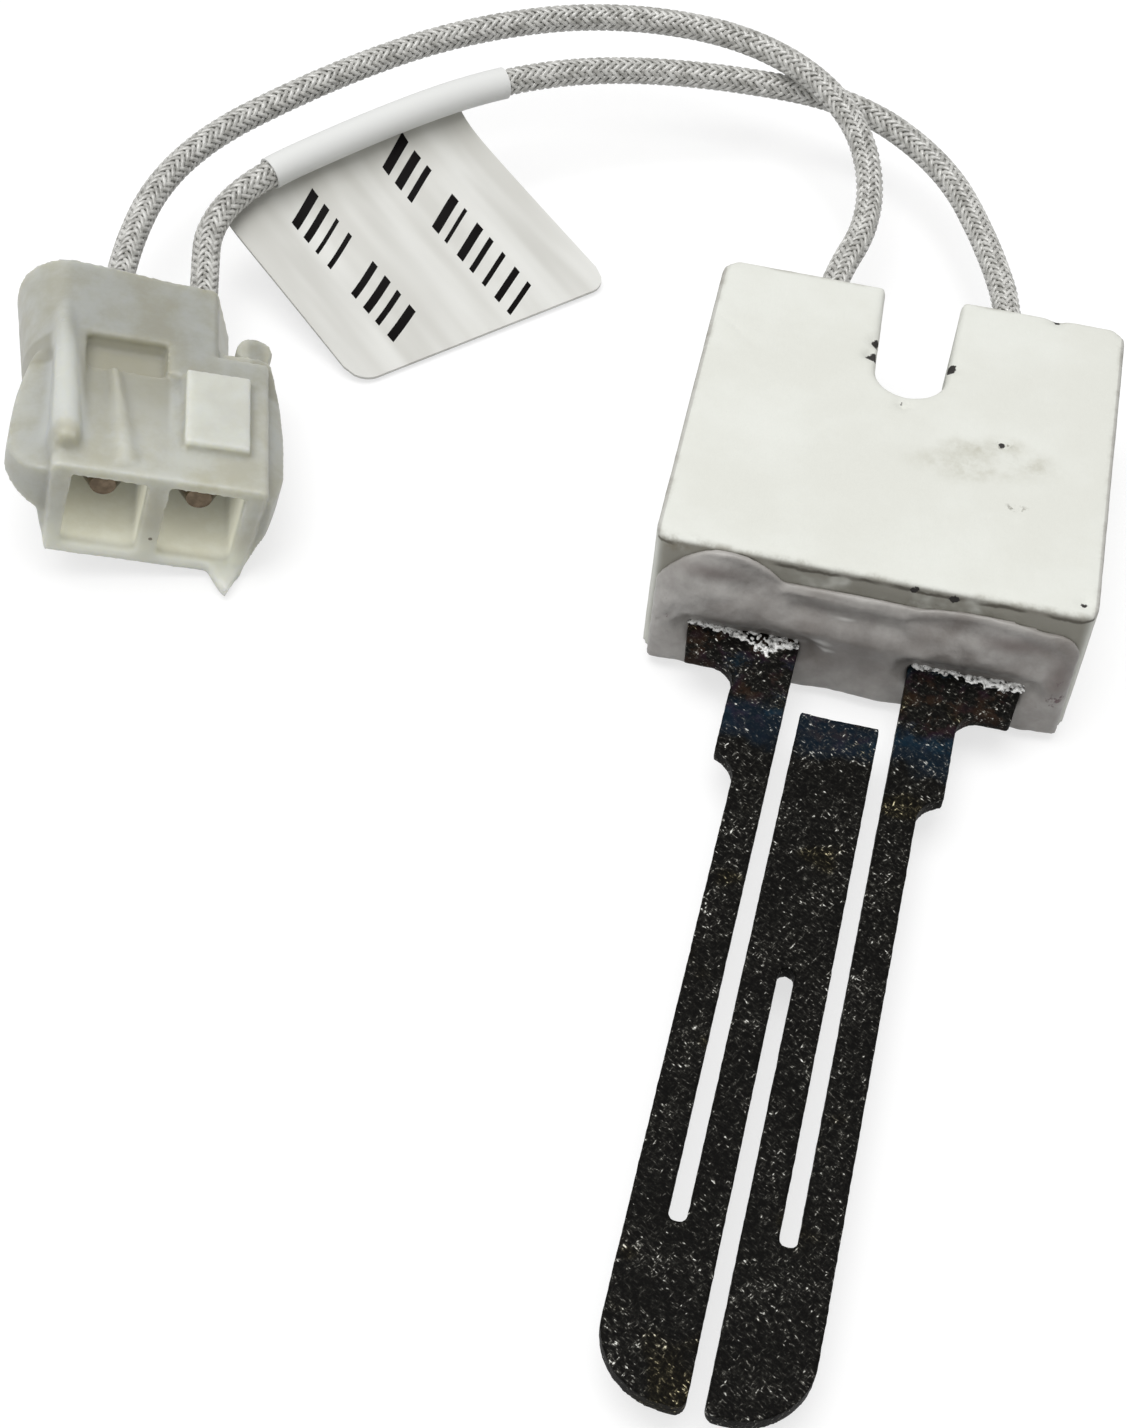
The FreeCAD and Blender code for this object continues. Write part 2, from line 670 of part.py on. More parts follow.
# Pin contacts: turned pin, collar, wire crimp and sleeve crimp in one piece

def pin_contact(side):
    def section(points):
        face = outline([V(r, y, 0) for y, r in points])
        return face.revolve(V(0, 0, 0), V(0, 1, 0), 360)

    collar = CONTACT_BORE_RADIUS - COLLAR_CLEARANCE
    wire_in = CORE_RADIUS + CLIP_FIT
    wire_out = wire_in + CRIMP_WALL
    sleeve_in = BRAID_RADIUS + CLIP_FIT
    sleeve_out = sleeve_in + CRIMP_WALL
    crimp_end = CRIMP_START + CRIMP_LENGTH
    sleeve_end = SLEEVE_CRIMP_START + SLEEVE_CRIMP_LENGTH
    body = section([
        (PIN_TIP, 0), (PIN_TIP, PIN_TIP_RADIUS), (PIN_TIP + PIN_TIP_LENGTH, PIN_RADIUS),
        (COLLAR_START, PIN_RADIUS), (COLLAR_START, collar), (COLLAR_START + COLLAR_LENGTH, collar),
        (COLLAR_START + COLLAR_LENGTH, wire_out), (crimp_end, wire_out), (crimp_end, wire_in),
        (CRIMP_START, wire_in), (CRIMP_START, 0)])
    sleeve = section([
        (SLEEVE_CRIMP_START, sleeve_in), (SLEEVE_CRIMP_START, sleeve_out),
        (sleeve_end, sleeve_out), (sleeve_end, sleeve_in)])
    strip = block(-CRIMP_STRIP_WIDTH / 2, CRIMP_STRIP_WIDTH / 2,
                  COLLAR_START + COLLAR_LENGTH, sleeve_end, -sleeve_out, -wire_in)
    bore = rod(wire_in, V(0, CRIMP_START, 0), V(0, sleeve_end + THROUGH, 0))
    sleeve_bore = rod(sleeve_in, V(0, BRAID_END - BRAID_END_GAP, 0), V(0, sleeve_end + THROUGH, 0))
    strip = strip.cut(bore).cut(sleeve_bore)
    contact = body.fuse(strip).fuse(sleeve).removeSplitter()
    contact.translate(contact_axis(side, 0))
    return in_connector_place(contact)


# Flag label: a tube of film round the right-hand lead, stuck back on itself as a hanging flag

def flag_label():
    before, bend, after = ROUTE_RIGHT[-3:]
    first = before - bend
    second = after - bend
    right_end = bend + first * ((LABEL_WIDTH - LABEL_LEFT) / first.Length)
    left_end = bend + second * (LABEL_LEFT / second.Length)
    lead_path, radii = rounded_path(lead_points(1))
    along = right_end - left_end
    along.z = 0
    along.normalize()
    out = V(along.y, -along.x, 0) + along * math.tan(math.radians(FLAG_SKEW))
    top = min(left_end.z, right_end.z) - BRAID_RADIUS - LABEL_FIT
    corner = V(left_end.x, left_end.y, 0) + along * FLAG_SHIFT

    def profile(u, z):
        return corner + out * u + UP * z

    knee = profile(FLAG_KNEE_REACH, FLAG_KNEE_HEIGHT)
    bulge = profile(FLAG_KNEE_REACH * 0.45, (top + FLAG_KNEE_HEIGHT) / 2 - 0.15)
    film = UP * FLAG_FILM
    face = outline([
        profile(0, top), profile(0, top) - film, (bulge - film, knee - film),
        profile(FLAG_REACH, FLAG_END_HEIGHT), profile(FLAG_REACH, FLAG_END_HEIGHT) + film,
        knee, (bulge, profile(0, top))])
    flag = face.extrude(along * FLAG_WIDTH)
    far = profile(FLAG_REACH, 0)
    sheet = outline([corner, far, far + along * FLAG_WIDTH, corner + along * FLAG_WIDTH])
    sheet = sheet.extrude(UP * (top + 1))
    sheet = sheet.makeFillet(FLAG_CORNER_RADIUS, edges_along(
        sheet, UP, lambda m: (m - corner).dot(along.cross(UP)) > FLAG_REACH / 2))
    flag = flag.common(sheet)
    film_radius = BRAID_RADIUS + LABEL_FIT + LABEL_FILM
    slab = outline([V(0, -FLAG_REACH, 0), V(LABEL_WIDTH, -FLAG_REACH, 0),
                    V(LABEL_WIDTH, FLAG_REACH, 0), V(0, FLAG_REACH, 0)]).extrude(UP * 2 * bend.z)
    slab.Placement = FreeCAD.Placement(V(left_end.x, left_end.y, 0),
                                       FreeCAD.Rotation(V(1, 0, 0), along))
    wrap = tube(lead_path, film_radius).common(slab)
    return wrap.fuse(flag).cut(tube(lead_path, BRAID_RADIUS + LABEL_FIT)).removeSplitter()


parts = {
    "ceramic_block": ceramic_block(),
    "pocket_cement": pocket_cement(),
    "silicon_carbide_element": silicon_carbide_element(),
    "connector_housing": connector_housing(),
    "flag_label": flag_label(),
}
for side, word in ((-1, "left"), (1, "right")):
    parts["contact_clip_" + word] = contact_clip(side)
    parts["lead_core_" + word] = lead_core(side)
    parts["lead_braid_" + word] = lead_braid(side)
    parts["pin_contact_" + word] = pin_contact(side)

os.makedirs("parts", exist_ok=True)
for name, shape in parts.items():
    print(name, "valid", shape.isValid(), "solids", len(shape.Solids),
          "volume", round(shape.Volume, 2), "box", shape.BoundBox)
    shape.exportStep("parts/" + name + ".step")
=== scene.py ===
import math

import bmesh
import bpy
import numpy as np
from mathutils import Euler, Matrix, Vector, noise


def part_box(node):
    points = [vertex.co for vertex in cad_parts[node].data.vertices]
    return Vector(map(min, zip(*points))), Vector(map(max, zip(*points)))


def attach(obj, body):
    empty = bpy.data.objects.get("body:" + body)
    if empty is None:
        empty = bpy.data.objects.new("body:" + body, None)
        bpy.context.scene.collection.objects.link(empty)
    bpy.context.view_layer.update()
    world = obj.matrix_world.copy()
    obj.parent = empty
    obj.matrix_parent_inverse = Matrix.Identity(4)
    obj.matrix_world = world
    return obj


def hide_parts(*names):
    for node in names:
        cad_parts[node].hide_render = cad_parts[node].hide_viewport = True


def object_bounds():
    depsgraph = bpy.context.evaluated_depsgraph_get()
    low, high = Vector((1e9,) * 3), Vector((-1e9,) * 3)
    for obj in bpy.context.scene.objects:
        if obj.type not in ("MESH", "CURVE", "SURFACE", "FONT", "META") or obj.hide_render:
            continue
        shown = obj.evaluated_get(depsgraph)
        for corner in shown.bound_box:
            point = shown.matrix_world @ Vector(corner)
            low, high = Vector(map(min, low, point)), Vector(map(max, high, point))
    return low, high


# Hot surface igniter: a worn ceramic block, cement, a silicon carbide plate, two braided leads,
# a flag label and a nylon connector. Metres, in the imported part's own frame.

MM = 0.001

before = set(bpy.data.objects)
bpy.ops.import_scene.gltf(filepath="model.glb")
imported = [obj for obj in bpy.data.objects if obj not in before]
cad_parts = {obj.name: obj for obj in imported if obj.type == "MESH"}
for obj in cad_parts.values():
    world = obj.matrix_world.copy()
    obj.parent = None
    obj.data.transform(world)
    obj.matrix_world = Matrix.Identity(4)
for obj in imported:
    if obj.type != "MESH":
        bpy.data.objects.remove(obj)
cad_low, cad_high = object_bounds()

BLOCK_LOW, BLOCK_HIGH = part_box("ceramic_block")
ELEMENT_LOW, ELEMENT_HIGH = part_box("silicon_carbide_element")
HOUSING_LOW, HOUSING_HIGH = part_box("connector_housing")
FLOOR = min(cad_low.z, 0.0)

# Leads
LEAD_SPACING = 14 * MM
LEAD_HEIGHT = 5.5 * MM
LEAD_INSET = 4.5 * MM
LEAD_EXIT_RUN = 4.8 * MM
SLEEVE_RADIUS = 1.02 * MM
LINER_RADIUS = 0.8 * MM
YARNS_EACH_WAY = 10
YARN_PITCH = 6.6 * MM
YARN_THICKNESS = 0.13 * MM
YARN_LIFT = 0.07 * MM
YARN_WIDTH = 0.38 * MM
YARN_TOP_SHARE = 0.5
YARN_STEPS_PER_TURN = 32

# Connector frame: x across, y from the mouth to the rear, z up from its underside
CONNECTOR_PLACE = Vector((-48.05, -16.62, 1.5)) * MM
CONNECTOR_TURN = (Matrix.Rotation(math.radians(16), 3, "Z")
                  @ Matrix.Rotation(math.radians(12.5), 3, "Y"))
CONTACT_PITCH = 6.35 * MM
CONTACT_HEIGHT = 4.4 * MM
HOUSING_LENGTH = 20.3 * MM
SLEEVE_END = 16.3 * MM


def in_connector(point):
    return CONNECTOR_PLACE + CONNECTOR_TURN @ Vector(point)


def from_connector(point):
    return CONNECTOR_TURN.transposed() @ (point - CONNECTOR_PLACE)


def deselect():
    bpy.ops.object.select_all(action="DESELECT")


def pick(obj):
    deselect()
    obj.select_set(True)
    bpy.context.view_layer.objects.active = obj
    return obj


def add_mesh(name, points, faces):
    mesh = bpy.data.meshes.new(name)
    mesh.from_pydata([tuple(p) for p in points], [], faces)
    mesh.update()
    obj = bpy.data.objects.new(name, mesh)
    bpy.context.scene.collection.objects.link(obj)
    return obj


def apply_modifier(obj, kind, **settings):
    pick(obj)
    modifier = obj.modifiers.new(kind.title(), kind)
    for key, value in settings.items():
        setattr(modifier, key, value)
    bpy.ops.object.modifier_apply(modifier=modifier.name)


def smooth(obj, degrees=None):
    pick(obj)
    if degrees is None:
        bpy.ops.object.shade_smooth()
    else:
        bpy.ops.object.shade_smooth_by_angle(angle=math.radians(degrees))


def dress(obj, *materials):
    obj.data.materials.clear()
    for material in materials:
        obj.data.materials.append(material)


def merged_copy(node, name):
    """A CAD node's own shape as a new closed mesh, with its loose triangles merged."""
    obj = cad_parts[node].copy()
    obj.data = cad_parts[node].data.copy()
    obj.name = name
    for key in list(obj.keys()):
        del obj[key]
    obj.parent = None
    bpy.context.scene.collection.objects.link(obj)
    pick(obj)
    bpy.ops.object.mode_set(mode="EDIT")
    bpy.ops.mesh.select_all(action="SELECT")
    bpy.ops.mesh.remove_doubles(threshold=0.002 * MM)
    bpy.ops.mesh.customdata_custom_splitnormals_clear()
    bpy.ops.mesh.normals_make_consistent(inside=False)
    bpy.ops.object.mode_set(mode="OBJECT")
    return obj


def remesh(obj, size):
    apply_modifier(obj, "REMESH", mode="VOXEL", voxel_size=size, use_smooth_shade=True)


def shape_by(obj, move):
    """Moves each vertex as move(place, normal) says."""
    mesh = obj.data
    normals = [v.normal.copy() for v in mesh.vertices]
    for vertex, normal in zip(mesh.vertices, normals):
        vertex.co = move(vertex.co.copy(), normal)
    mesh.update()


def grain(place, size, seed=0.0):
    return noise.noise(place / size + Vector((seed, seed * 1.7, seed * 2.3)))


# Node helper

def node(tree, kind, inputs=None, **settings):
    made = tree.nodes.new("ShaderNode" + kind)
    for key, value in settings.items():
        setattr(made, key, value)
    for key, value in (inputs or {}).items():
        socket = made.inputs[key]
        if isinstance(value, bpy.types.NodeSocket):
            tree.links.new(value, socket)
        else:
            socket.default_value = value
    return made


def finish(name, roughness=0.5, **sockets):
    material = bpy.data.materials.new(name)
    material.use_nodes = True
    tree = material.node_tree
    shader = tree.nodes["Principled BSDF"]
    shader.inputs["Roughness"].default_value = roughness
    for key, value in sockets.items():
        shader.inputs[key.replace("_", " ")].default_value = value
    return material, tree, shader


def object_place(tree):
    return node(tree, "TexCoord").outputs["Object"]


def noise_value(tree, where, scale, detail=2.0, roughness=0.5):
    return node(tree, "TexNoise", {"Vector": where, "Scale": scale, "Detail": detail,
                                   "Roughness": roughness}).outputs["Fac"]


def ramp(tree, value, stops):
    made = node(tree, "ValToRGB", {"Fac": value})
    elements = made.color_ramp.elements
    while len(elements) < len(stops):
        elements.new(0.5)
    for element, (position, colour) in zip(elements, stops):
        element.position = position
        element.color = (*colour, 1)
    return made.outputs["Color"]


def grey(value):
    return (value, value, value)


def between(tree, value, low, high, smoothly=True):
    return node(tree, "MapRange", {"Value": value, "From Min": low, "From Max": high},
                interpolation_type="SMOOTHSTEP" if smoothly else "LINEAR").outputs["Result"]


def maths(tree, operation, first, second=0.0):
    return node(tree, "Math", {0: first, 1: second}, operation=operation).outputs["Value"]


def mix(tree, share, first, second, blend="MIX"):
    made = node(tree, "Mix", data_type="RGBA", blend_type=blend)
    for index, value in ((0, share), (6, first), (7, second)):
        socket = made.inputs[index]
        if isinstance(value, bpy.types.NodeSocket):
            tree.links.new(value, socket)
        else:
            socket.default_value = (*value, 1) if isinstance(value, tuple) else value
    return made.outputs[2]


def bump(tree, height, distance, strength=1.0):
    return node(tree, "Bump", {"Height": height, "Distance": distance,
                               "Strength": strength}).outputs["Normal"]


def near(tree, where, centre, size, stretch=(1, 1, 1)):
    """1 at the centre, 0 at size away, as a soft round patch."""
    moved = node(tree, "VectorMath", {0: where, 1: centre}, operation="SUBTRACT").outputs[0]
    scaled = node(tree, "VectorMath", {0: moved, 1: stretch}, operation="DIVIDE").outputs[0]
    distance = node(tree, "VectorMath", {0: scaled}, operation="LENGTH").outputs["Value"]
    return between(tree, distance, size, 0.0)


# Camera, lights and floor

CAMERA_PLACE = Vector((-4.265, -126.047, 126.64)) * MM
CAMERA_TURN = [math.radians(a) for a in (39.811, -3.579, 11.725)]
CAMERA_LENS = 63.78
KEY_PLACE = Vector((-0.10, -0.06, 0.66))
KEY_SIZE = 0.5
KEY_POWER = 3.0
FILL_PLACE = Vector((-0.35, -0.4, 0.4))
FILL_SIZE = 0.5
FILL_POWER = 0.35
WORLD_STRENGTH = 0.5
FLOOR_SIZE = 4.0
FLOOR_FADE_START = 0.12
FLOOR_FADE_END = 0.5


def make_camera():
    data = bpy.data.cameras.new("camera")
    data.sensor_width = 36
    data.lens = CAMERA_LENS
    data.clip_start = 0.01
    data.clip_end = 20
    camera = bpy.data.objects.new("camera", data)
    camera.location = CAMERA_PLACE
    camera.rotation_euler = Euler(CAMERA_TURN)
    bpy.context.scene.collection.objects.link(camera)
    bpy.context.scene.camera = camera


def make_lamp(name, place, size, power):
    data = bpy.data.lights.new(name, "AREA")
    data.shape = "SQUARE"
    data.size = size
    data.energy = power
    lamp = bpy.data.objects.new(name, data)
    lamp.location = place
    lamp.rotation_euler = (-place).to_track_quat("-Z", "Y").to_euler()
    bpy.context.scene.collection.objects.link(lamp)


def seen_directly(tree):
    """1 for the camera, mirrors and glass, and 0 for the light that the object receives."""
    path = node(tree, "LightPath").outputs
    shown = maths(tree, "MAXIMUM", path["Is Camera Ray"], path["Is Glossy Ray"])
    return maths(tree, "MAXIMUM", shown, path["Is Transmission Ray"])


def make_world():
    world = bpy.data.worlds.new("studio")
    bpy.context.scene.world = world
    world.use_nodes = True
    tree = world.node_tree
    tree.nodes["Background"].inputs["Strength"].default_value = WORLD_STRENGTH
    white = node(tree, "Background", {"Color": (1, 1, 1, 1), "Strength": 1.0})
    path = node(tree, "LightPath").outputs
    share = maths(tree, "MAXIMUM", path["Is Camera Ray"], path["Is Transmission Ray"])
    mixed = node(tree, "MixShader", {0: share, 1: tree.nodes["Background"].outputs[0],
                                     2: white.outputs[0]})
    tree.nodes["Background"].inputs["Color"].default_value = (1, 1, 1, 1)
    tree.links.new(mixed.outputs[0], tree.nodes["World Output"].inputs["Surface"])


def make_floor():
    bpy.ops.mesh.primitive_plane_add(size=FLOOR_SIZE, location=(0, 0, FLOOR))
    floor = bpy.context.object
    floor.name = "floor"
    material = bpy.data.materials.new("paper")
    material.use_nodes = True
    tree = material.node_tree
    tree.nodes.clear()
    output = node(tree, "OutputMaterial")
    shown = seen_directly(tree)
    bounce = node(tree, "BsdfDiffuse", {"Color": (0.5, 0.5, 0.5, 1)})
    paper = node(tree, "BsdfDiffuse", {"Color": (0.36, 0.36, 0.36, 1)})
    lift = node(tree, "Emission", {"Color": (1, 1, 1, 1), "Strength": 0.68})
    lit = node(tree, "AddShader", {0: paper.outputs[0], 1: lift.outputs[0]})
    white = node(tree, "Emission", {"Color": (1, 1, 1, 1), "Strength": 1.0})
    distance = node(tree, "VectorMath", {0: object_place(tree)}, operation="LENGTH").outputs["Value"]
    away = between(tree, distance, FLOOR_FADE_START, FLOOR_FADE_END)
    faded = node(tree, "MixShader", {0: away, 1: lit.outputs[0], 2: white.outputs[0]})
    both = node(tree, "MixShader", {0: shown, 1: bounce.outputs[0], 2: faded.outputs[0]})
    tree.links.new(both.outputs[0], output.inputs["Surface"])
    floor.data.materials.append(material)


# Finishes

# Dark marks on the block, in millimetres: centre and size
DARK_CHIPS = [((-2.75, 6.75, 10.7), 1.0), ((-2.55, 8.3, 10.6), 0.85), ((2.6, 7.0, 10.6), 0.95),
              ((-0.3, 2.65, 10.5), 0.6), ((6.75, 0.2, 10.95), 0.5), ((13.2, -12.8, 10.9), 0.5),
              ((9.4, 13.9, 10.5), 0.9), ((2.6, -13.9, 10.5), 0.6), ((5.2, -13.9, 10.4), 0.7)]
STAIN = (0.40, 0.385, 0.30)
# Grime colour, also used for the painted shade of the front strip above the cement.
GRIME_AND_SHADE = (0.20, 0.19, 0.155)
SOOT = (0.035, 0.032, 0.03)


def make_ceramic():
    material, tree, shader = finish("fired_ceramic", 0.75, Specular_IOR_Level=0.3)
    where = object_place(tree)
    axes = node(tree, "SeparateXYZ", {"Vector": where}).outputs
    cloud = noise_value(tree, where, 110, 4, 0.6)
    colour = mix(tree, between(tree, cloud, 0.35, 0.68), (0.705, 0.71, 0.655), (0.745, 0.755, 0.705))
    patchy = between(tree, noise_value(tree, where, 620, 4, 0.7), 0.3, 0.75)
    for centre, size in (((6.9, 0.1, 11), (2.4, 1.3, 3)), ((4.9, -0.6, 11), (3.0, 1.2, 3)),
                         ((9.3, -1.3, 11), (2.3, 1.9, 3)), ((4.6, -2.4, 11), (5.5, 2.4, 3))):
        smudge = near(tree, where, [c * MM for c in centre], 1.0, [c * MM for c in size])
        share = maths(tree, "MULTIPLY", smudge, maths(tree, "ADD", patchy, 0.15))
        colour = mix(tree, maths(tree, "MULTIPLY", share, 0.55), colour, STAIN)
    for centre, size in (((8.2, -5.5, 11), (1.1, 0.5, 2)), ((6.8, 0.2, 11), (0.9, 0.5, 2))):
        smudge = near(tree, where, [c * MM for c in centre], 1.0, [c * MM for c in size])
        fleck = between(tree, noise_value(tree, where, 2000, 3, 0.7), 0.5, 0.62)
        colour = mix(tree, maths(tree, "MULTIPLY", smudge, fleck), colour, GRIME_AND_SHADE)
    above = between(tree, axes["Z"], 10.0 * MM, 10.7 * MM)
    rough_edge = between(tree, noise_value(tree, where, 420, 4, 0.7), 0.42, 0.72)
    rim = maths(tree, "MAXIMUM",
                between(tree, maths(tree, "ABSOLUTE", axes["X"]), 13.6 * MM, 14.2 * MM),
                between(tree, maths(tree, "ABSOLUTE", axes["Y"]), 13.4 * MM, 14.0 * MM))
    rim = maths(tree, "MULTIPLY", maths(tree, "MULTIPLY", rim, above), rough_edge)
    colour = mix(tree, maths(tree, "MULTIPLY", rim, 0.8), colour, (0.30, 0.285, 0.235))
    outer = maths(tree, "MAXIMUM",
                  between(tree, maths(tree, "ABSOLUTE", axes["X"]), 13.88 * MM, 13.98 * MM),
                  between(tree, maths(tree, "ABSOLUTE", axes["Y"]), 13.88 * MM, 13.98 * MM))
    outer = maths(tree, "MULTIPLY", outer, between(tree, axes["Z"], 10.3 * MM, 10.7 * MM))
    colour = mix(tree, maths(tree, "MULTIPLY", outer, 0.45), colour, (0.30, 0.285, 0.27))
    # Darker front face below its top edge: partly dirt, partly painted shade on the shaded front.
    front = between(tree, axes["Y"], -13.4 * MM, -13.95 * MM)
    lower = between(tree, axes["Z"], 10.95 * MM, 10.55 * MM)
    front_band_dirt_and_shade = maths(tree, "MULTIPLY", maths(tree, "MULTIPLY", front, lower),
                  between(tree, noise_value(tree, where, 260, 3, 0.6), 0.2, 0.5))
    colour = mix(tree, maths(tree, "MULTIPLY", front_band_dirt_and_shade, 0.9), colour, (0.25, 0.238, 0.20))
    wander = maths(tree, "MULTIPLY", noise_value(tree, where, 330, 4, 0.7), 0.8 * MM)
    level = maths(tree, "ADD", axes["Z"], wander)
    thread = maths(tree, "MULTIPLY", between(tree, level, 10.62 * MM, 10.78 * MM),
                   between(tree, level, 11.05 * MM, 10.86 * MM))
    thread = maths(tree, "MULTIPLY", thread, between(tree, axes["Y"], -13.3 * MM, -13.5 * MM))
    broken = between(tree, noise_value(tree, where, 300, 2), 0.38, 0.52)
    thread = maths(tree, "MULTIPLY", thread, broken)
    colour = mix(tree, maths(tree, "MULTIPLY", thread, 0.9), colour, (0.10, 0.092, 0.075))
    # Darker strip across the front face above the cement: partly dirt, partly painted shade.
    front_strip_dirt_and_shade = maths(tree, "MULTIPLY", front, near(tree, where, [0.004, -0.0141, 0.0094], 1.0,
                                                [0.0105, 0.003, 0.0009]))
    colour = mix(tree, maths(tree, "MULTIPLY", front_strip_dirt_and_shade, rough_edge), colour, GRIME_AND_SHADE)
    corner = near(tree, where, [-0.0125, -0.0139, 0.0104], 1.0, [0.0032, 0.0012, 0.0011])
    corner = maths(tree, "MULTIPLY", corner, rough_edge)
    colour = mix(tree, corner, colour, (0.22, 0.20, 0.15))
    ragged = noise_value(tree, where, 2400, 3, 0.7)
    for centre, size in DARK_CHIPS:
        spot = near(tree, where, [c * MM for c in centre], size * MM)
        dark = between(tree, maths(tree, "ADD", maths(tree, "MULTIPLY", spot, 0.9), ragged), 0.95, 1.1)
        colour = mix(tree, dark, colour, SOOT)
    tree.links.new(colour, shader.inputs["Base Color"])
    chalk = noise_value(tree, where, 2600, 3, 0.6)
    tree.links.new(bump(tree, chalk, 0.05 * MM, 0.6), shader.inputs["Normal"])
    return material


def make_cement():
    material, tree, shader = finish("potting_cement", 0.4, Specular_IOR_Level=0.5)
    where = object_place(tree)
    cloud = noise_value(tree, where, 230, 5, 0.62)
    colour = ramp(tree, cloud, [(0.32, (0.20, 0.18, 0.165)), (0.5, (0.30, 0.285, 0.27)),
                                (0.7, (0.44, 0.425, 0.405))])
    dark = near(tree, where, (0.0, -15.2 * MM, 4.6 * MM), 1.0, (6.5 * MM, 4 * MM, 4.2 * MM))
    colour = mix(tree, maths(tree, "MULTIPLY", dark, 0.6), colour, (0.11, 0.095, 0.085))
    for place, size in (((-7.4, 4.9), 4.8), ((7.4, 4.9), 4.8)):
        root = near(tree, where, (place[0] * MM, -15 * MM, place[1] * MM), 1.0,
                    (size * MM, 3 * MM, 1.9 * MM))
        colour = mix(tree, maths(tree, "MULTIPLY", root, 0.55), colour, (0.085, 0.08, 0.075))
    # Painted light: up-facing parts of the cement's lip are made paler, as if lit from above.
    facing = node(tree, "NewGeometry").outputs["Normal"]
    upward = node(tree, "SeparateXYZ", {"Vector": facing}).outputs["Z"]
    lip = maths(tree, "MULTIPLY", between(tree, upward, 0.2, 0.75),
                between(tree, node(tree, "SeparateXYZ", {"Vector": where}).outputs["Z"],
                        6.5 * MM, 8.2 * MM))
    colour = mix(tree, maths(tree, "MULTIPLY", lip, 0.3), colour, (0.46, 0.44, 0.41))
    for centre, size in (((-10.0, -14.8, 9.3), (3.2, 3, 1.0)), ((9.6, -14.8, 7.9), (3.2, 3, 0.9)),
                         ((12.9, -15, 5.8), (1.4, 3, 2.4))):
        brown = near(tree, where, [c * MM for c in centre], 1.0, [c * MM for c in size])
        colour = mix(tree, maths(tree, "MULTIPLY", brown, 0.7), colour, (0.115, 0.088, 0.08))
    for centre, size in (((-2.6, -15.3, 5.4), (1.1, 2, 0.4)), ((-2.2, -15.3, 4.7), (0.9, 2, 0.3)),
                         ((-1.3, -15.3, 7.3), (1.0, 2, 0.16))):
        pale = near(tree, where, [c * MM for c in centre], 1.0, [c * MM for c in size])
        colour = mix(tree, maths(tree, "MULTIPLY", pale, 0.9), colour, (0.58, 0.57, 0.55))
    pits = between(tree, noise_value(tree, where, 1100, 3, 0.7), 0.60, 0.70)
    for centre in ((13.0, -15.2, 4.4), (-13.0, -15.2, 5.3)):
        spot = near(tree, where, [c * MM for c in centre], 1.0, (1.9 * MM, 2.5 * MM, 2.2 * MM))
        colour = mix(tree, maths(tree, "MULTIPLY", spot, pits), colour, (0.09, 0.055, 0.06))
    tree.links.new(colour, shader.inputs["Base Color"])
    tree.links.new(bump(tree, noise_value(tree, where, 1300, 4, 0.6), 0.09 * MM, 0.6),
                   shader.inputs["Normal"])
    return material


def make_carbide():
    material, tree, shader = finish("silicon_carbide", 0.55, Specular_IOR_Level=0.05)
    where = object_place(tree)
    axes = node(tree, "SeparateXYZ", {"Vector": where}).outputs
    wander = maths(tree, "MULTIPLY", noise_value(tree, where, 300, 3, 0.6), 5 * MM)
    along = maths(tree, "ADD", axes["Y"], wander)
    patches = noise_value(tree, where, 420, 3)
    needles = []
    for turn in (0.5, -0.9, 2.0):
        turned = node(tree, "VectorRotate", {"Vector": where, "Angle": turn},
                      rotation_type="Z_AXIS").outputs[0]
        drawn = node(tree, "VectorMath", {0: turned, 1: (1.0, 0.4, 1.0)},
                     operation="MULTIPLY").outputs[0]
        needles.append(noise_value(tree, drawn, 5200 + 600 * turn, 2, 0.6))
    glint_flakes = maths(tree, "MAXIMUM", maths(tree, "MAXIMUM", needles[0], needles[1]), needles[2])
    level = maths(tree, "ADD", glint_flakes, maths(tree, "MULTIPLY", patches, 0.16))
    # Painted glints: the pale flecks of this ramp stand for crystal facets catching the light; its
    # darkest stops are the plate's own near-black colour.
    glints_and_tint = ramp(tree, level, [(0.60, (0.0035, 0.0033, 0.003)), (0.70, (0.011, 0.0105, 0.009)),
                               (0.755, (0.035, 0.034, 0.03)), (0.80, (0.17, 0.165, 0.145)),
                               (0.85, (0.80, 0.80, 0.75))])
    warm = between(tree, noise_value(tree, where, 210, 2), 0.60, 0.68)
    glints_and_tint = mix(tree, maths(tree, "MULTIPLY", warm, 0.7), glints_and_tint, (1.0, 0.86, 0.45), "MULTIPLY")
    heat_noise = between(tree, noise_value(tree, where, 900, 4, 0.65), 0.46, 0.6)
    hue = noise_value(tree, where, 260, 2)
    root = maths(tree, "MULTIPLY", between(tree, along, -21.0 * MM, -18 * MM), heat_noise)
    tint = ramp(tree, hue, [(0.42, (0.016, 0.007, 0.003)), (0.5, (0.012, 0.004, 0.010)),
                            (0.58, (0.001, 0.010, 0.018))])
    glints_and_tint = mix(tree, maths(tree, "MULTIPLY", root, 0.9), glints_and_tint, tint, "ADD")
    blue_band = maths(tree, "MULTIPLY", between(tree, along, -21.5 * MM, -20 * MM),
                      between(tree, along, -17 * MM, -18.5 * MM))
    glints_and_tint = mix(tree, maths(tree, "MULTIPLY", blue_band, 0.9), glints_and_tint, (0.0, 0.006, 0.014), "ADD")
    tree.links.new(glints_and_tint, shader.inputs["Base Color"])
    grainy = noise_value(tree, where, 4200, 3, 0.65)
    tree.links.new(bump(tree, grainy, 0.06 * MM, 0.7), shader.inputs["Normal"])
    return material


def make_deposit():
    material, tree, shader = finish("silvery_deposit", 0.35, Metallic=0.1)
    where = object_place(tree)
    tone = ramp(tree, noise_value(tree, where, 2600, 3, 0.7),
                [(0.38, (0.10, 0.10, 0.095)), (0.5, (0.93, 0.93, 0.91))])
    tree.links.new(tone, shader.inputs["Base Color"])
    return material


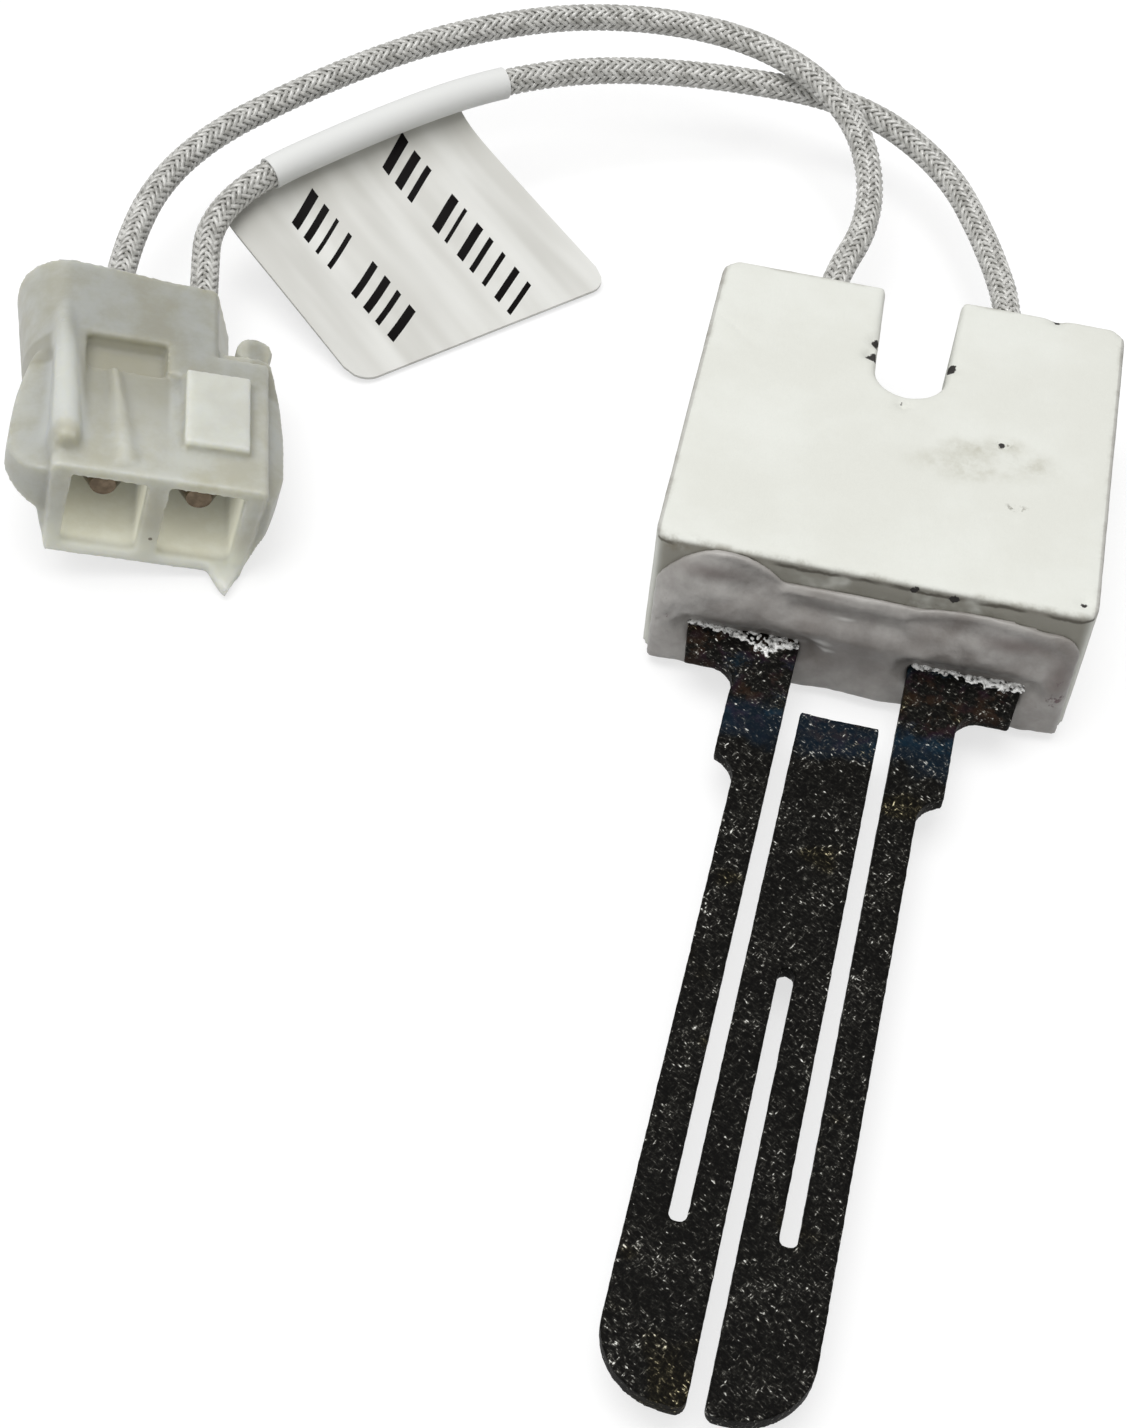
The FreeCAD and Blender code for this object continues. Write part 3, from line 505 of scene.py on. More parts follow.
# Print on the flag: two rows of plain slanted strokes, in millimetres on the film. Each row has
# its middle, its start and end, and the number of the place that stays empty
PRINT_ROWS = [(14.3, 1.0, 14.9, 3), (5.7, 2.0, 14.0, 4)]
STROKE_HEIGHT = 2.9
STROKE_PITCH = 1.35
STROKE_SLANT = 0.5
STROKE_THIN = 0.22
STROKE_THICK = 0.55


def make_film():
    material, tree, shader = finish("label_film", 0.5, Specular_IOR_Level=0.08)
    film = node(tree, "Attribute", attribute_name="film_place")
    axes = node(tree, "SeparateXYZ", {"Vector": film.outputs["Vector"]}).outputs
    where = object_place(tree)
    # Painted shade: soft darker streaks running out along the flag stand for the shading of its
    # crumples.
    crumple_shade_streaks = node(tree, "VectorMath", {0: film.outputs["Vector"], 1: (0.32, 0.05, 0.0)},
                   operation="MULTIPLY").outputs[0]
    paper = mix(tree, between(tree, noise_value(tree, crumple_shade_streaks, 1.0, 2), 0.35, 0.68),
                (0.62, 0.615, 0.58), (0.76, 0.76, 0.73))
    # Darker at the top of the flag: partly dirty, see-through film, partly painted shade under the wrap.
    soiled_and_shaded = maths(tree, "MULTIPLY", between(tree, axes["Y"], 4.5, -0.5),
                   maths(tree, "GREATER_THAN", axes["Y"], -2.0))
    paper = mix(tree, maths(tree, "MULTIPLY", soiled_and_shaded, 0.55), paper, (0.30, 0.295, 0.255))
    paper = mix(tree, axes["Z"], paper, (0.745, 0.75, 0.735))
    ink = None
    for middle, start, end, gap in PRINT_ROWS:
        height = maths(tree, "SUBTRACT", axes["X"], middle)
        inside = maths(tree, "LESS_THAN", maths(tree, "ABSOLUTE", height), STROKE_HEIGHT / 2)
        shifted = maths(tree, "ADD", axes["Y"], maths(tree, "MULTIPLY", height, STROKE_SLANT))
        count = maths(tree, "DIVIDE", maths(tree, "SUBTRACT", shifted, start), STROKE_PITCH)
        number = maths(tree, "FLOOR", count)
        chance = node(tree, "TexWhiteNoise", {"W": maths(tree, "ADD", number, middle)},
                      noise_dimensions="1D").outputs["Value"]
        width = maths(tree, "ADD", maths(tree, "MULTIPLY", chance, STROKE_THICK - STROKE_THIN),
                      STROKE_THIN)
        stroke = maths(tree, "LESS_THAN", maths(tree, "FRACT", count), width)
        begun = maths(tree, "GREATER_THAN", shifted, start)
        open_end = maths(tree, "LESS_THAN", shifted, end)
        off_gap = maths(tree, "GREATER_THAN",
                        maths(tree, "ABSOLUTE", maths(tree, "SUBTRACT", number, gap)), 0.5)
        row = maths(tree, "MULTIPLY", maths(tree, "MULTIPLY", inside, stroke),
                    maths(tree, "MULTIPLY", begun, open_end))
        row = maths(tree, "MULTIPLY", row, off_gap)
        ink = row if ink is None else maths(tree, "MAXIMUM", ink, row)
    colour = mix(tree, ink, paper, (0.002, 0.001, 0.001))
    tree.links.new(colour, shader.inputs["Base Color"])
    return material


# Small dark marks on the housing: place in the connector's own frame, in millimetres, and size
HOUSING_MARKS = [((0.35, 0.0, 2.6), 0.3), ((-9.3, 4.4, 5.6), 0.4), ((-8.9, 1.8, 4.6), 0.3)]


def make_nylon():
    """Natural nylon: greyer where it is thick, paler at the pad and mouth, and lit through, with painted
    shade in the trough and hollow on top, painted light at the foot of the mouth and a painted glow in
    its cavities.
    """
    material, tree, shader = finish("natural_nylon", 0.4, Subsurface_Weight=1.0,
                                    Subsurface_Scale=0.0022, Specular_IOR_Level=0.4)
    where = object_place(tree)
    moved = node(tree, "VectorMath", {0: where, 1: CONNECTOR_PLACE},
                 operation="SUBTRACT").outputs[0]
    x, y, z = [node(tree, "VectorMath", {0: moved, 1: CONNECTOR_TURN.col[i]},
                    operation="DOT_PRODUCT").outputs["Value"] for i in range(3)]
    cloud = between(tree, noise_value(tree, where, 260, 5, 0.65), 0.34, 0.66)
    thick = mix(tree, cloud, (0.335, 0.33, 0.275), (0.40, 0.41, 0.385))
    thin = mix(tree, cloud, (0.45, 0.445, 0.375), (0.53, 0.54, 0.50))
    tone = mix(tree, between(tree, y, 13.5 * MM, 5.5 * MM), thick, thin)
    wings = maths(tree, "MAXIMUM", between(tree, x, -6.2 * MM, -7.2 * MM),
                  between(tree, x, 6.9 * MM, 7.5 * MM))
    tone = mix(tree, wings, tone, mix(tree, 0.5, thick, thin))
    top = between(tree, z, 6.4 * MM, 7.2 * MM)
    # Painted shade: the trough on the top is darkened towards its deep rear.
    trough_shade = maths(tree, "MULTIPLY", between(tree, x, -6.0 * MM, -5.2 * MM),
                   between(tree, x, 0.75 * MM, 0.35 * MM))
    trough_shade = maths(tree, "MULTIPLY", trough_shade, maths(tree, "MULTIPLY", between(tree, y, 1.5 * MM, 9 * MM),
                                                   between(tree, y, 13.4 * MM, 12.9 * MM)))
    tone = mix(tree, maths(tree, "MULTIPLY", maths(tree, "MULTIPLY", trough_shade, top), 0.6), tone,
               (0.31, 0.30, 0.235))
    run = between(tree, y, 15.5 * MM, 2.5 * MM, False)
    crest = maths(tree, "ADD", x, maths(tree, "SUBTRACT", 6.9 * MM,
                                        maths(tree, "MULTIPLY", run, 0.9 * MM)))
    width = maths(tree, "ADD", maths(tree, "MULTIPLY", run, 1.2 * MM), 0.5 * MM)
    ridge = between(tree, maths(tree, "DIVIDE", maths(tree, "ABSOLUTE", crest), width), 1.15, 0.6)
    ridge = maths(tree, "MULTIPLY", maths(tree, "MULTIPLY", ridge, top),
                  maths(tree, "MULTIPLY", between(tree, y, 2.0 * MM, 3.6 * MM),
                        between(tree, y, 14.0 * MM, 9.0 * MM)))
    tone = mix(tree, maths(tree, "MULTIPLY", ridge, 0.75), tone, (0.60, 0.62, 0.60))
    pad = maths(tree, "MULTIPLY", between(tree, z, 8.55 * MM, 8.85 * MM),
                between(tree, x, 0.5 * MM, 1.4 * MM))
    tone = mix(tree, pad, tone, mix(tree, cloud, (0.58, 0.585, 0.53), (0.63, 0.645, 0.60)))
    # Painted light: the lower front of the mouth is made pale, standing in for light through the nylon
    # and from the floor.
    lit_foot = maths(tree, "MULTIPLY", between(tree, y, 0.6 * MM, 0.1 * MM),
                 between(tree, z, 4.5 * MM, 0.5 * MM))
    tone = mix(tree, lit_foot, tone, (0.70, 0.71, 0.63))
    # Painted shade in the hollow at the rear of the top.
    hollow_shade = maths(tree, "MULTIPLY", between(tree, y, 10.0 * MM, 10.6 * MM),
                   between(tree, z, 7.9 * MM, 7.4 * MM))
    hollow_shade = maths(tree, "MULTIPLY", hollow_shade, between(tree, y, 13.2 * MM, 12.8 * MM))
    tone = mix(tree, maths(tree, "MULTIPLY", hollow_shade, 0.5), tone, (0.25, 0.235, 0.17))
    ragged = noise_value(tree, where, 2200, 3, 0.7)
    for centre, size in HOUSING_MARKS:
        spot = near(tree, where, in_connector([c * MM for c in centre]), size * MM)
        mark = between(tree, maths(tree, "ADD", spot, ragged), 1.0, 1.2)
        tone = mix(tree, maths(tree, "MULTIPLY", mark, 0.8), tone, (0.10, 0.08, 0.05))
    tree.links.new(tone, shader.inputs["Base Color"])
    # Painted light: an emission glow in the mouth's cavities, strongest near the mouth, stands in for
    # light through the thin walls.
    inside = maths(tree, "MULTIPLY", between(tree, maths(tree, "ABSOLUTE", x), 6.3 * MM, 5.9 * MM),
                   between(tree, y, 0.0, 1.2 * MM))
    inside = maths(tree, "MULTIPLY", inside, between(tree, z, 7.9 * MM, 7.5 * MM))
    inside = maths(tree, "MULTIPLY", inside, between(tree, z, 0.4 * MM, 1.0 * MM))
    deep = between(tree, y, 6.5 * MM, 0.5 * MM)
    painted_glow = maths(tree, "MULTIPLY", inside, maths(tree, "ADD", maths(tree, "MULTIPLY", deep, 0.26), 0.09))
    tree.links.new(painted_glow, shader.inputs["Emission Strength"])
    shader.inputs["Emission Color"].default_value = (0.93, 0.915, 0.74, 1)
    shader.inputs["Subsurface Radius"].default_value = (1.0, 0.95, 0.72)
    tree.links.new(bump(tree, noise_value(tree, where, 900, 3), 0.03 * MM, 0.5),
                   shader.inputs["Normal"])
    return material


def make_metal(name, colour, roughness):
    material, tree, shader = finish(name, roughness, Metallic=1.0)
    where = object_place(tree)
    worn = between(tree, noise_value(tree, where, 1800, 3), 0.35, 0.7)
    tone = mix(tree, worn, tuple(c * 0.6 for c in colour), colour)
    tree.links.new(tone, shader.inputs["Base Color"])
    return material


def make_glass_yarn():
    material, tree, shader = finish("glass_yarn", 0.24, Specular_IOR_Level=1.0)
    where = object_place(tree)
    tone = ramp(tree, noise_value(tree, where, 1500, 3, 0.6),
                [(0.36, (0.33, 0.325, 0.30)), (0.62, (0.66, 0.655, 0.625))])
    tree.links.new(tone, shader.inputs["Base Color"])
    return material


# Painted shade: the tube under the yarns is dark grey so that the gaps in the braid show dark.
def make_gap_shade_liner():
    material, tree, shader = finish("sleeve_liner_gap_shade", 0.8)
    where = object_place(tree)
    tone = ramp(tree, noise_value(tree, where, 900, 2),
                [(0.3, (0.09, 0.088, 0.08)), (0.7, (0.17, 0.165, 0.155))])
    tree.links.new(tone, shader.inputs["Base Color"])
    return material


# Leads

ROUTES = {
    "left": [(-4.4, 28.0, 6.4), (-7.6, 37.6, 8.2), (-16.2, 43.5, 8.9), (-28.0, 43.3, 9.0),
             (-38.6, 38.4, 8.6), (-47.6, 30.2, 8.0), (-56.4, 18.8, 7.2)],
    "right": [(4.2, 27.6, 5.5), (0.0, 36.2, 5.5), (-7.8, 42.2, 5.6), (-18.6, 40.4, 7.0),
              (-27.6, 37.0, 8.2), (-35.0, 32.2, 8.7), (-42.3, 24.9, 8.6), (-52.3, 14.6, 7.1)]}
SIDES = {"left": -1, "right": 1}
LAST_BEND = {"left": 4.0 * MM, "right": 2.0 * MM}


def route_controls(word):
    side = SIDES[word]
    x = side * LEAD_SPACING / 2
    start = Vector((x, BLOCK_HIGH.y - LEAD_INSET, LEAD_HEIGHT))
    leave = Vector((x, BLOCK_HIGH.y + LEAD_EXIT_RUN, LEAD_HEIGHT))
    axis = side * CONTACT_PITCH / 2
    bend = in_connector((axis, HOUSING_LENGTH + LAST_BEND[word], CONTACT_HEIGHT))
    end = in_connector((axis, SLEEVE_END, CONTACT_HEIGHT))
    return [start, leave] + [Vector(p) * MM for p in ROUTES[word]] + [bend, end]


def smooth_line(controls, step):
    """Points at even steps on the NURBS line whose control points are the route's points."""
    curve = bpy.data.curves.new("route", "CURVE")
    curve.dimensions = "3D"
    curve.resolution_u = 40
    spline = curve.splines.new("NURBS")
    spline.points.add(len(controls) - 1)
    for point, place in zip(spline.points, controls):
        point.co = (*place, 1)
    spline.order_u = 3
    spline.use_endpoint_u = True
    holder = bpy.data.objects.new("route", curve)
    mesh = bpy.data.meshes.new_from_object(holder)
    places = np.array([v.co for v in mesh.vertices])
    bpy.data.objects.remove(holder)
    bpy.data.meshes.remove(mesh)
    runs = np.linalg.norm(np.diff(places, axis=0), axis=1)
    travel = np.concatenate([[0], np.cumsum(runs)])
    count = int(travel[-1] / step)
    even = np.linspace(0, travel[-1], count + 1)
    return np.stack([np.interp(even, travel, places[:, i]) for i in range(3)], 1), even


def moving_axes(line):
    """Tangent, side and up for each point of a line, turned as little as possible along it."""
    tangents = np.gradient(line, axis=0)
    tangents /= np.linalg.norm(tangents, axis=1)[:, None]
    ups = np.zeros_like(line)
    up = np.array([0.0, 0.0, 1.0])
    for i, tangent in enumerate(tangents):
        up = up - tangent * (up @ tangent)
        up /= np.linalg.norm(up)
        ups[i] = up
    return tangents, np.cross(tangents, ups), ups


def ring_faces(rings, around, first=0, capped=True):
    faces = []
    for i in range(rings - 1):
        for j in range(around):
            a = first + i * around + j
            b = first + i * around + (j + 1) % around
            faces.append((a, b, b + around, a + around))
    if capped:
        faces.append(tuple(first + j for j in reversed(range(around))))
        faces.append(tuple(first + (rings - 1) * around + j for j in range(around)))
    return faces


def tube_points(line, sides, ups, radius, around):
    turns = np.arange(around) * 2 * math.pi / around
    ring = (np.cos(turns)[None, :, None] * ups[:, None, :]
            - np.sin(turns)[None, :, None] * sides[:, None, :])
    return (line[:, None, :] + ring * radius).reshape(-1, 3)


def weave_height(crossing):
    """+1 where a yarn rides over two others and -1 where it dips under two."""
    wave = math.cos(math.pi / 2 * (crossing - 0.5))
    return max(-1.0, min(1.0, 1.5 * wave))


def braided_sleeve(word):
    controls = route_controls(word)
    line, travel = smooth_line(controls, YARN_PITCH / YARN_STEPS_PER_TURN)
    tangents, sides, ups = moving_axes(line)
    liner_around = 24
    points = [tube_points(line[::2], sides[::2], ups[::2], LINER_RADIUS, liner_around)]
    faces = ring_faces(len(line[::2]), liner_around)
    liner_faces = len(faces)
    total = len(points[0])
    middle = SLEEVE_RADIUS - YARN_LIFT - YARN_THICKNESS / 2
    omega = 2 * math.pi / YARN_PITCH
    count = YARNS_EACH_WAY
    half = YARN_WIDTH / 2
    profile = [(-half, -0.5), (-half * YARN_TOP_SHARE, 0.5), (half * YARN_TOP_SHARE, 0.5), (half, -0.5)]
    for way in (1, -1):
        for k in range(count):
            angle = way * omega * travel + 2 * math.pi * k / count
            crossing = omega * travel * count / math.pi
            phase = 2 * k + crossing if way > 0 else 2 * k - crossing
            lift = np.array([weave_height(x) for x in phase]) * way
            radius = middle + lift * YARN_LIFT
            outward = np.cos(angle)[:, None] * ups + np.sin(angle)[:, None] * sides
            spine = line + outward * radius[:, None]
            heading = np.gradient(spine, axis=0)
            heading /= np.linalg.norm(heading, axis=1)[:, None]
            across = np.cross(heading, outward)
            across /= np.linalg.norm(across, axis=1)[:, None]
            rings = [spine + across * w + outward * (h * YARN_THICKNESS) for w, h in profile]
            yarn = np.stack(rings, 1).reshape(-1, 3)
            points.append(yarn)
            faces += ring_faces(len(line), len(profile), total)
            total += len(yarn)
    obj = add_mesh("lead_sleeve_" + word, np.concatenate(points), faces)
    dress(obj, gap_shade_liner_finish, yarn_finish)
    indices = np.ones(len(obj.data.polygons), int)
    indices[:liner_faces] = 0
    obj.data.polygons.foreach_set("material_index", indices.tolist())
    bpy.context.view_layer.update()
    smooth(obj)
    pick(obj)
    bpy.ops.object.mode_set(mode="EDIT")
    bpy.ops.mesh.select_all(action="SELECT")
    bpy.ops.mesh.normals_make_consistent(inside=False)
    bpy.ops.object.mode_set(mode="OBJECT")
    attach(obj, "root")
    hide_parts("lead_braid_" + word)
    return obj, line


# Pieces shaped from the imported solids

def patch(place, centre, size):
    """1 at the centre of a round soft patch and 0 far outside it; size is per axis."""
    far = sum(((a - b) / c) ** 2 for a, b, c in zip(place, centre, size))
    return math.exp(-far)


def line_share(place, start, end, width):
    """1 on a straight stroke from start to end, fading over its width, in two axes."""
    run = (end[0] - start[0], end[1] - start[1])
    rel = (place[0] - start[0], place[1] - start[1])
    t = max(0.0, min(1.0, (rel[0] * run[0] + rel[1] * run[1]) / (run[0] ** 2 + run[1] ** 2)))
    gap = math.hypot(rel[0] - run[0] * t, rel[1] - run[1] * t)
    return math.exp(-(gap / width) ** 2)


BLOCK_VOXEL = 0.205 * MM
# Chips on the top face: x, y, width and depth
TOP_CHIPS = [(-2.92, 6.83, 0.55, 0.4), (-2.69, 8.26, 0.6, 0.45), (2.73, 6.95, 0.5, 0.35),
             (-0.17, 2.35, 0.5, 0.3), (8.45, -5.6, 0.25, 0.1), (13.2, -12.7, 0.45, 0.25),
             (9.4, 13.9, 0.6, 0.3), (6.6, 0.2, 0.5, 0.12), (7.9, -0.5, 0.4, 0.1)]
SCRATCHES = [((-13.8, 8.0), (-12.4, 7.1)), ((-12.4, 7.1), (-10.8, 5.5))]
SCRATCH_WIDTH = 0.22
SCRATCH_DEPTH = 0.05
EDGE_REACH = 1.1
EDGE_ROUND = 0.6


def crisper(across, up, ends, top):
    """Moves a place on a rounded long edge outward, so that the edge looks tighter."""
    side = 1 if across > 0 else -1
    reach = side * across - (abs(ends[1]) - EDGE_ROUND)
    rise = up - (top - EDGE_ROUND)
    if reach <= 0 or rise <= 0:
        return across * MM, up * MM
    power = (reach / EDGE_ROUND) ** 5 + (rise / EDGE_ROUND) ** 5
    grow = math.hypot(reach, rise) / EDGE_ROUND / max(power ** 0.2, 0.01)
    grow = max(1.0, min(grow, 1.25))
    return ((across + side * reach * (grow - 1)) * MM, (up + rise * (grow - 1)) * MM)


def worn_block():
    obj = merged_copy("ceramic_block", "block_body")
    remesh(obj, BLOCK_VOXEL)
    low = BLOCK_LOW / MM
    high = BLOCK_HIGH / MM

    def edge_wear(p, at, amount, size, seed):
        """How far a point near a long edge is worn away; p holds its two distances."""
        far = math.hypot(p[0], p[1])
        if far > EDGE_REACH:
            return 0.0
        rough = 0.5 + 0.5 * noise.noise(Vector((at / size, seed, 0.0)))
        fine = 0.3 * noise.noise(Vector((at / 0.9, seed + 4.0, 0.0)))
        return amount * max(0.1, rough + fine) * (1 - far / EDGE_REACH)

    def move(place, normal):
        q = place / MM
        depth = 0.02 * grain(place, 2.6 * MM) + 0.012 * grain(place, 0.7 * MM, 5.0)
        front_top = edge_wear((q.y - low.y, q.z - high.z), q.x, 0.2, 3.2, 1.0)
        side_top = max(edge_wear((q.x - low.x, q.z - high.z), q.y, 0.06, 4.0, 7.0),
                       edge_wear((q.x - high.x, q.z - high.z), q.y, 0.06, 4.0, 9.0),
                       edge_wear((q.y - high.y, q.z - high.z), q.x, 0.06, 4.0, 12.0))
        front_low = edge_wear((q.y - low.y, q.z - low.z), q.x, 0.3, 2.4, 15.0)
        shift = Vector((0, front_top * 0.7 + front_low * 0.7, front_low * 0.5 - front_top * 0.7
                        - side_top * 0.7))
        if normal.z > 0.3 or q.z > high.z - 0.8:
            for x, y, width, deep in TOP_CHIPS:
                if abs(q.x - x) < 2 * width and abs(q.y - y) < 2 * width:
                    edge = 1 + 0.5 * grain(place, 0.4 * MM, x)
                    shift.z -= deep * edge * patch(q, (x, y, high.z), (width, width, 1.2))
            for start, end in SCRATCHES:
                shift.z -= SCRATCH_DEPTH * line_share(q, start, end, SCRATCH_WIDTH)
        sharp = place.copy()
        sharp.x, sharp.z = crisper(q.x, q.z, (low.x, high.x), high.z)
        sharp.y, sharp.z = crisper(q.y, sharp.z / MM, (low.y, high.y), high.z)
        return sharp + shift * MM + normal * depth * MM

    shape_by(obj, move)
    return place_piece(obj, "ceramic_block", ceramic_finish)


ELEMENT_VOXEL = 0.14 * MM


def grainy_element():
    obj = merged_copy("silicon_carbide_element", "element_plate")
    remesh(obj, ELEMENT_VOXEL)

    def move(place, normal):
        rough = 0.02 * grain(place, 0.9 * MM, 3.0) + 0.022 * grain(place, 0.36 * MM, 8.0)
        return place + normal * rough * MM

    shape_by(obj, move)
    return place_piece(obj, "silicon_carbide_element", carbide_finish)


CEMENT_VOXEL = 0.2 * MM


# Upper edge of the cement on the front face: x and z, in millimetres
CEMENT_EDGE = [(-14.1, 8.25), (-11.9, 10.6), (-9.1, 10.9), (-6.8, 10.1), (-4.65, 9.3),
               (-1.75, 9.3), (1.2, 9.0), (3.1, 8.9), (4.85, 9.4), (7.65, 9.8), (9.7, 9.3),
               (11.4, 8.6), (12.6, 8.3), (13.6, 6.65), (14.1, 3.3)]
# Share of the bulge's depth at each distance under that edge
LIP_DEPTHS = [(-1.0, 0.34), (0.25, 0.40), (0.8, 0.36), (1.8, 0.62), (3.2, 0.95), (4.0, 1.0)]


def sculpted_cement():
    obj = merged_copy("pocket_cement", "potting_cement")
    remesh(obj, CEMENT_VOXEL)

    def move(place, normal):
        q = place / MM
        out = (-14.0 - q.y) / 0.5
        if out <= 0:
            return place
        share = min(1.0, out)
        under = float(np.interp(q.x, *zip(*CEMENT_EDGE))) - q.z
        thin = float(np.interp(under, *zip(*LIP_DEPTHS)))
        share *= 0.3 + 0.7 * thin
        swell = 0.22 * grain(place, 3.4 * MM, 2.0) + 0.09 * grain(place, 1.1 * MM, 6.0)
        swell += 0.03 * grain(place, 0.45 * MM, 9.0)
        swell -= 0.3 * patch(q, (-8.0, q.y, 8.5), (1.9, 1, 0.75))
        swell += 0.3 * line_share((q.x, q.z), (-5.4, 8.7), (2.4, 8.3), 0.28)
        swell -= 0.45 * line_share((q.x, q.z), (-4.4, 7.6), (2.0, 7.3), 0.5)
        swell -= 0.2 * patch(q, (6.2, q.y, 8.1), (2.2, 1, 0.6))
        swell += 0.2 * line_share((q.x, q.z), (-5.5, 6.4), (4.0, 5.9), 0.7)
        for side in (-1, 1):
            across = abs(q.x - side * 7.3) - 3.9
            if across < 1.2:
                close = 1 if across < 0 else 1 - across / 1.2
                swell -= 0.9 * close * math.exp(-((q.z - 4.3) / 0.95) ** 2)
        corner = max(patch(q, (13.0, q.y, 4.6), (1.5, 1, 1.5)), patch(q, (-13.0, q.y, 5.3), (1, 1, 1.2)))
        if corner > 0.05:
            swell -= 0.5 * corner * max(0.0, grain(place, 0.55 * MM, 21.0))
        back = (-14.0 - q.y) * (1 - thin)
        moved = place + Vector((0, back - swell * share, 0)) * MM
        moved.z += 0.35 * MM * patch(q, (-9.8, q.y, 10.2), (2.6, 1, 1.2))
        moved += Vector((normal.x, 0, normal.z)) * 0.06 * share * grain(place, 0.9 * MM, 31.0) * MM
        return moved

    shape_by(obj, move)
    return place_piece(obj, "pocket_cement", cement_finish)


HOUSING_VOXEL = 0.17 * MM


def soft_housing():
    """The moulded housing with its edges rounded and its faces slightly sunk."""
    obj = merged_copy("connector_housing", "housing_shell")
    remesh(obj, HOUSING_VOXEL)
    apply_modifier(obj, "SMOOTH", factor=0.5, iterations=3)
    soft = obj.vertex_groups.new(name="soft")
    lip = obj.vertex_groups.new(name="lip")
    for vertex in obj.data.vertices:
        q = from_connector(vertex.co) / MM
        if q.x < 1.2 and 1.0 < q.y < 19.5 and q.z > 6.6:
            soft.add([vertex.index], 1.0, "REPLACE")
        if q.y < 2.6 and q.z < 5.6 and abs(q.x) < 6.2:
            lip.add([vertex.index], 1.0, "REPLACE")
    apply_modifier(obj, "SMOOTH", factor=0.5, iterations=14, vertex_group="soft")
    apply_modifier(obj, "SMOOTH", factor=0.5, iterations=30, vertex_group="lip")

    def move(place, normal):
        q = from_connector(place) / MM
        rise = 0.022 * grain(place, 2.2 * MM, 3.0) + 0.012 * grain(place, 0.8 * MM, 7.0)
        if q.z > 6.6:
            run = max(0.0, min(1.0, (10.2 - q.y) / 9.2))
            rib = math.exp(-((q.x + 3.2 - 1.0 * run) / (0.28 + 0.5 * run)) ** 2)
            ends = min(1.0, max(0.0, (q.y - 0.7) / 1.2)) * min(1.0, max(0.0, (10.4 - q.y) / 0.8))
            rise += 0.34 * rib * ends
            run = max(0.0, min(1.0, (15.5 - q.y) / 13.0))
            ridge = math.exp(-((q.x + 6.9 - 0.9 * run) / (0.45 + 0.75 * run)) ** 2)
            ends = min(1.0, max(0.0, (q.y - 1.2) / 1.6)) * min(1.0, max(0.0, (16.0 - q.y) / 2.0))
            rise += 0.4 * ridge * ends
        return place + normal * rise * MM

    shape_by(obj, move)
    return place_piece(obj, "connector_housing", nylon_finish)


PIN_REACH = 9.2
PIN_SWELL = 1.55
PIN_LIFT = 0.35


def wide_pin(word):
    """The contact with its round nose and barrel as full as they look in the mouth."""
    obj = merged_copy("pin_contact_" + word, "contact_pin_" + word)
    axis_x = SIDES[word] * CONTACT_PITCH / MM / 2
    axis_z = CONTACT_HEIGHT / MM

    def move(place, normal):
        q = from_connector(place) / MM
        if q.y > PIN_REACH:
            return place
        q.x = axis_x + (q.x - axis_x) * PIN_SWELL
        q.z = axis_z + PIN_LIFT + (q.z - axis_z) * PIN_SWELL
        return in_connector(q * MM)

    shape_by(obj, move)
    dress(obj, pin_finish)
    smooth(obj, 35)
    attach(obj, "root")
    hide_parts("pin_contact_" + word)
    return obj


# Silvery deposit where the element's tabs come out of the cement, as strings of small lumps
DEPOSIT_LEFT = [(-11.2, -14.5), (-9.7, -14.4), (-8.5, -14.8), (-7.0, -15.2), (-5.8, -16.0),
                (-5.3, -15.2), (-3.9, -14.9)]
DEPOSIT_RIGHT = [(3.7, -14.4), (6.0, -14.5), (8.7, -15.0), (10.9, -15.0)]
DEPOSIT_EDGE = -14.3
DEPOSIT_STEP = 0.03
DEPOSIT_SPREAD = 0.3
DEPOSIT_SIZE = 0.17
DEPOSIT_VOXEL = 0.06 * MM


def tab_deposit(name, route, seed):
    rng = np.random.default_rng(seed)
    top = ELEMENT_HIGH.z / MM
    body = bmesh.new()
    for start, end in zip(route, route[1:]):
        run = math.dist(start, end)
        for i in range(int(run / DEPOSIT_STEP)):
            t = i * DEPOSIT_STEP / run
            x = start[0] + (end[0] - start[0]) * t + rng.normal(0, 0.08)
            y = start[1] + (end[1] - start[1]) * t
            y += max(0.0, DEPOSIT_EDGE - y) * rng.uniform(0, 1) ** 1.4
            y += rng.normal(0, DEPOSIT_SPREAD / 2)
            size = DEPOSIT_SIZE * rng.uniform(0.5, 1.25)
            place = Matrix.Translation(Vector((x, y, top + rng.uniform(-0.1, 0.08))) * MM)
            turn = Euler(rng.uniform(0, math.pi, 3)).to_matrix().to_4x4()
            scale = Matrix.Diagonal((*(rng.uniform(0.35, 1.5, 3) * size * MM), 1))
            bmesh.ops.create_icosphere(body, subdivisions=1, radius=1.0,
                                       matrix=place @ turn @ scale)
    mesh = bpy.data.meshes.new(name)
    body.to_mesh(mesh)
    body.free()
    obj = bpy.data.objects.new(name, mesh)
    bpy.context.scene.collection.objects.link(obj)
    remesh(obj, DEPOSIT_VOXEL)
    dress(obj, deposit_finish)
    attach(obj, "root")
    return obj


def place_piece(obj, replaced, material):
    dress(obj, material)
    smooth(obj)
    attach(obj, "root")
    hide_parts(replaced)
    return obj


# Flag label: film wrapped round the right-hand lead, and its flag as a sheet lying out to the floor

LABEL_WIDTH = 20.6
LABEL_LEFT = 9.6
WRAP_RADIUS = 1.2 * MM
FLAG_WIDTH = 21.0
FLAG_REACH = 16.2
FLAG_SHIFT = -4.3
FLAG_SKEW = 13.0
FLAG_END_HEIGHT = 0.45
FLAG_FILM = 0.2
FLAG_CORNER = 1.6
FLAG_DROP_SHARE = 0.12
FLAG_DROP_REACH = 0.06
FLAG_WAVE = 0.22
FLAG_SPREAD = 1.3
FLAG_STEPS = 84
FLAG_ROWS = 66


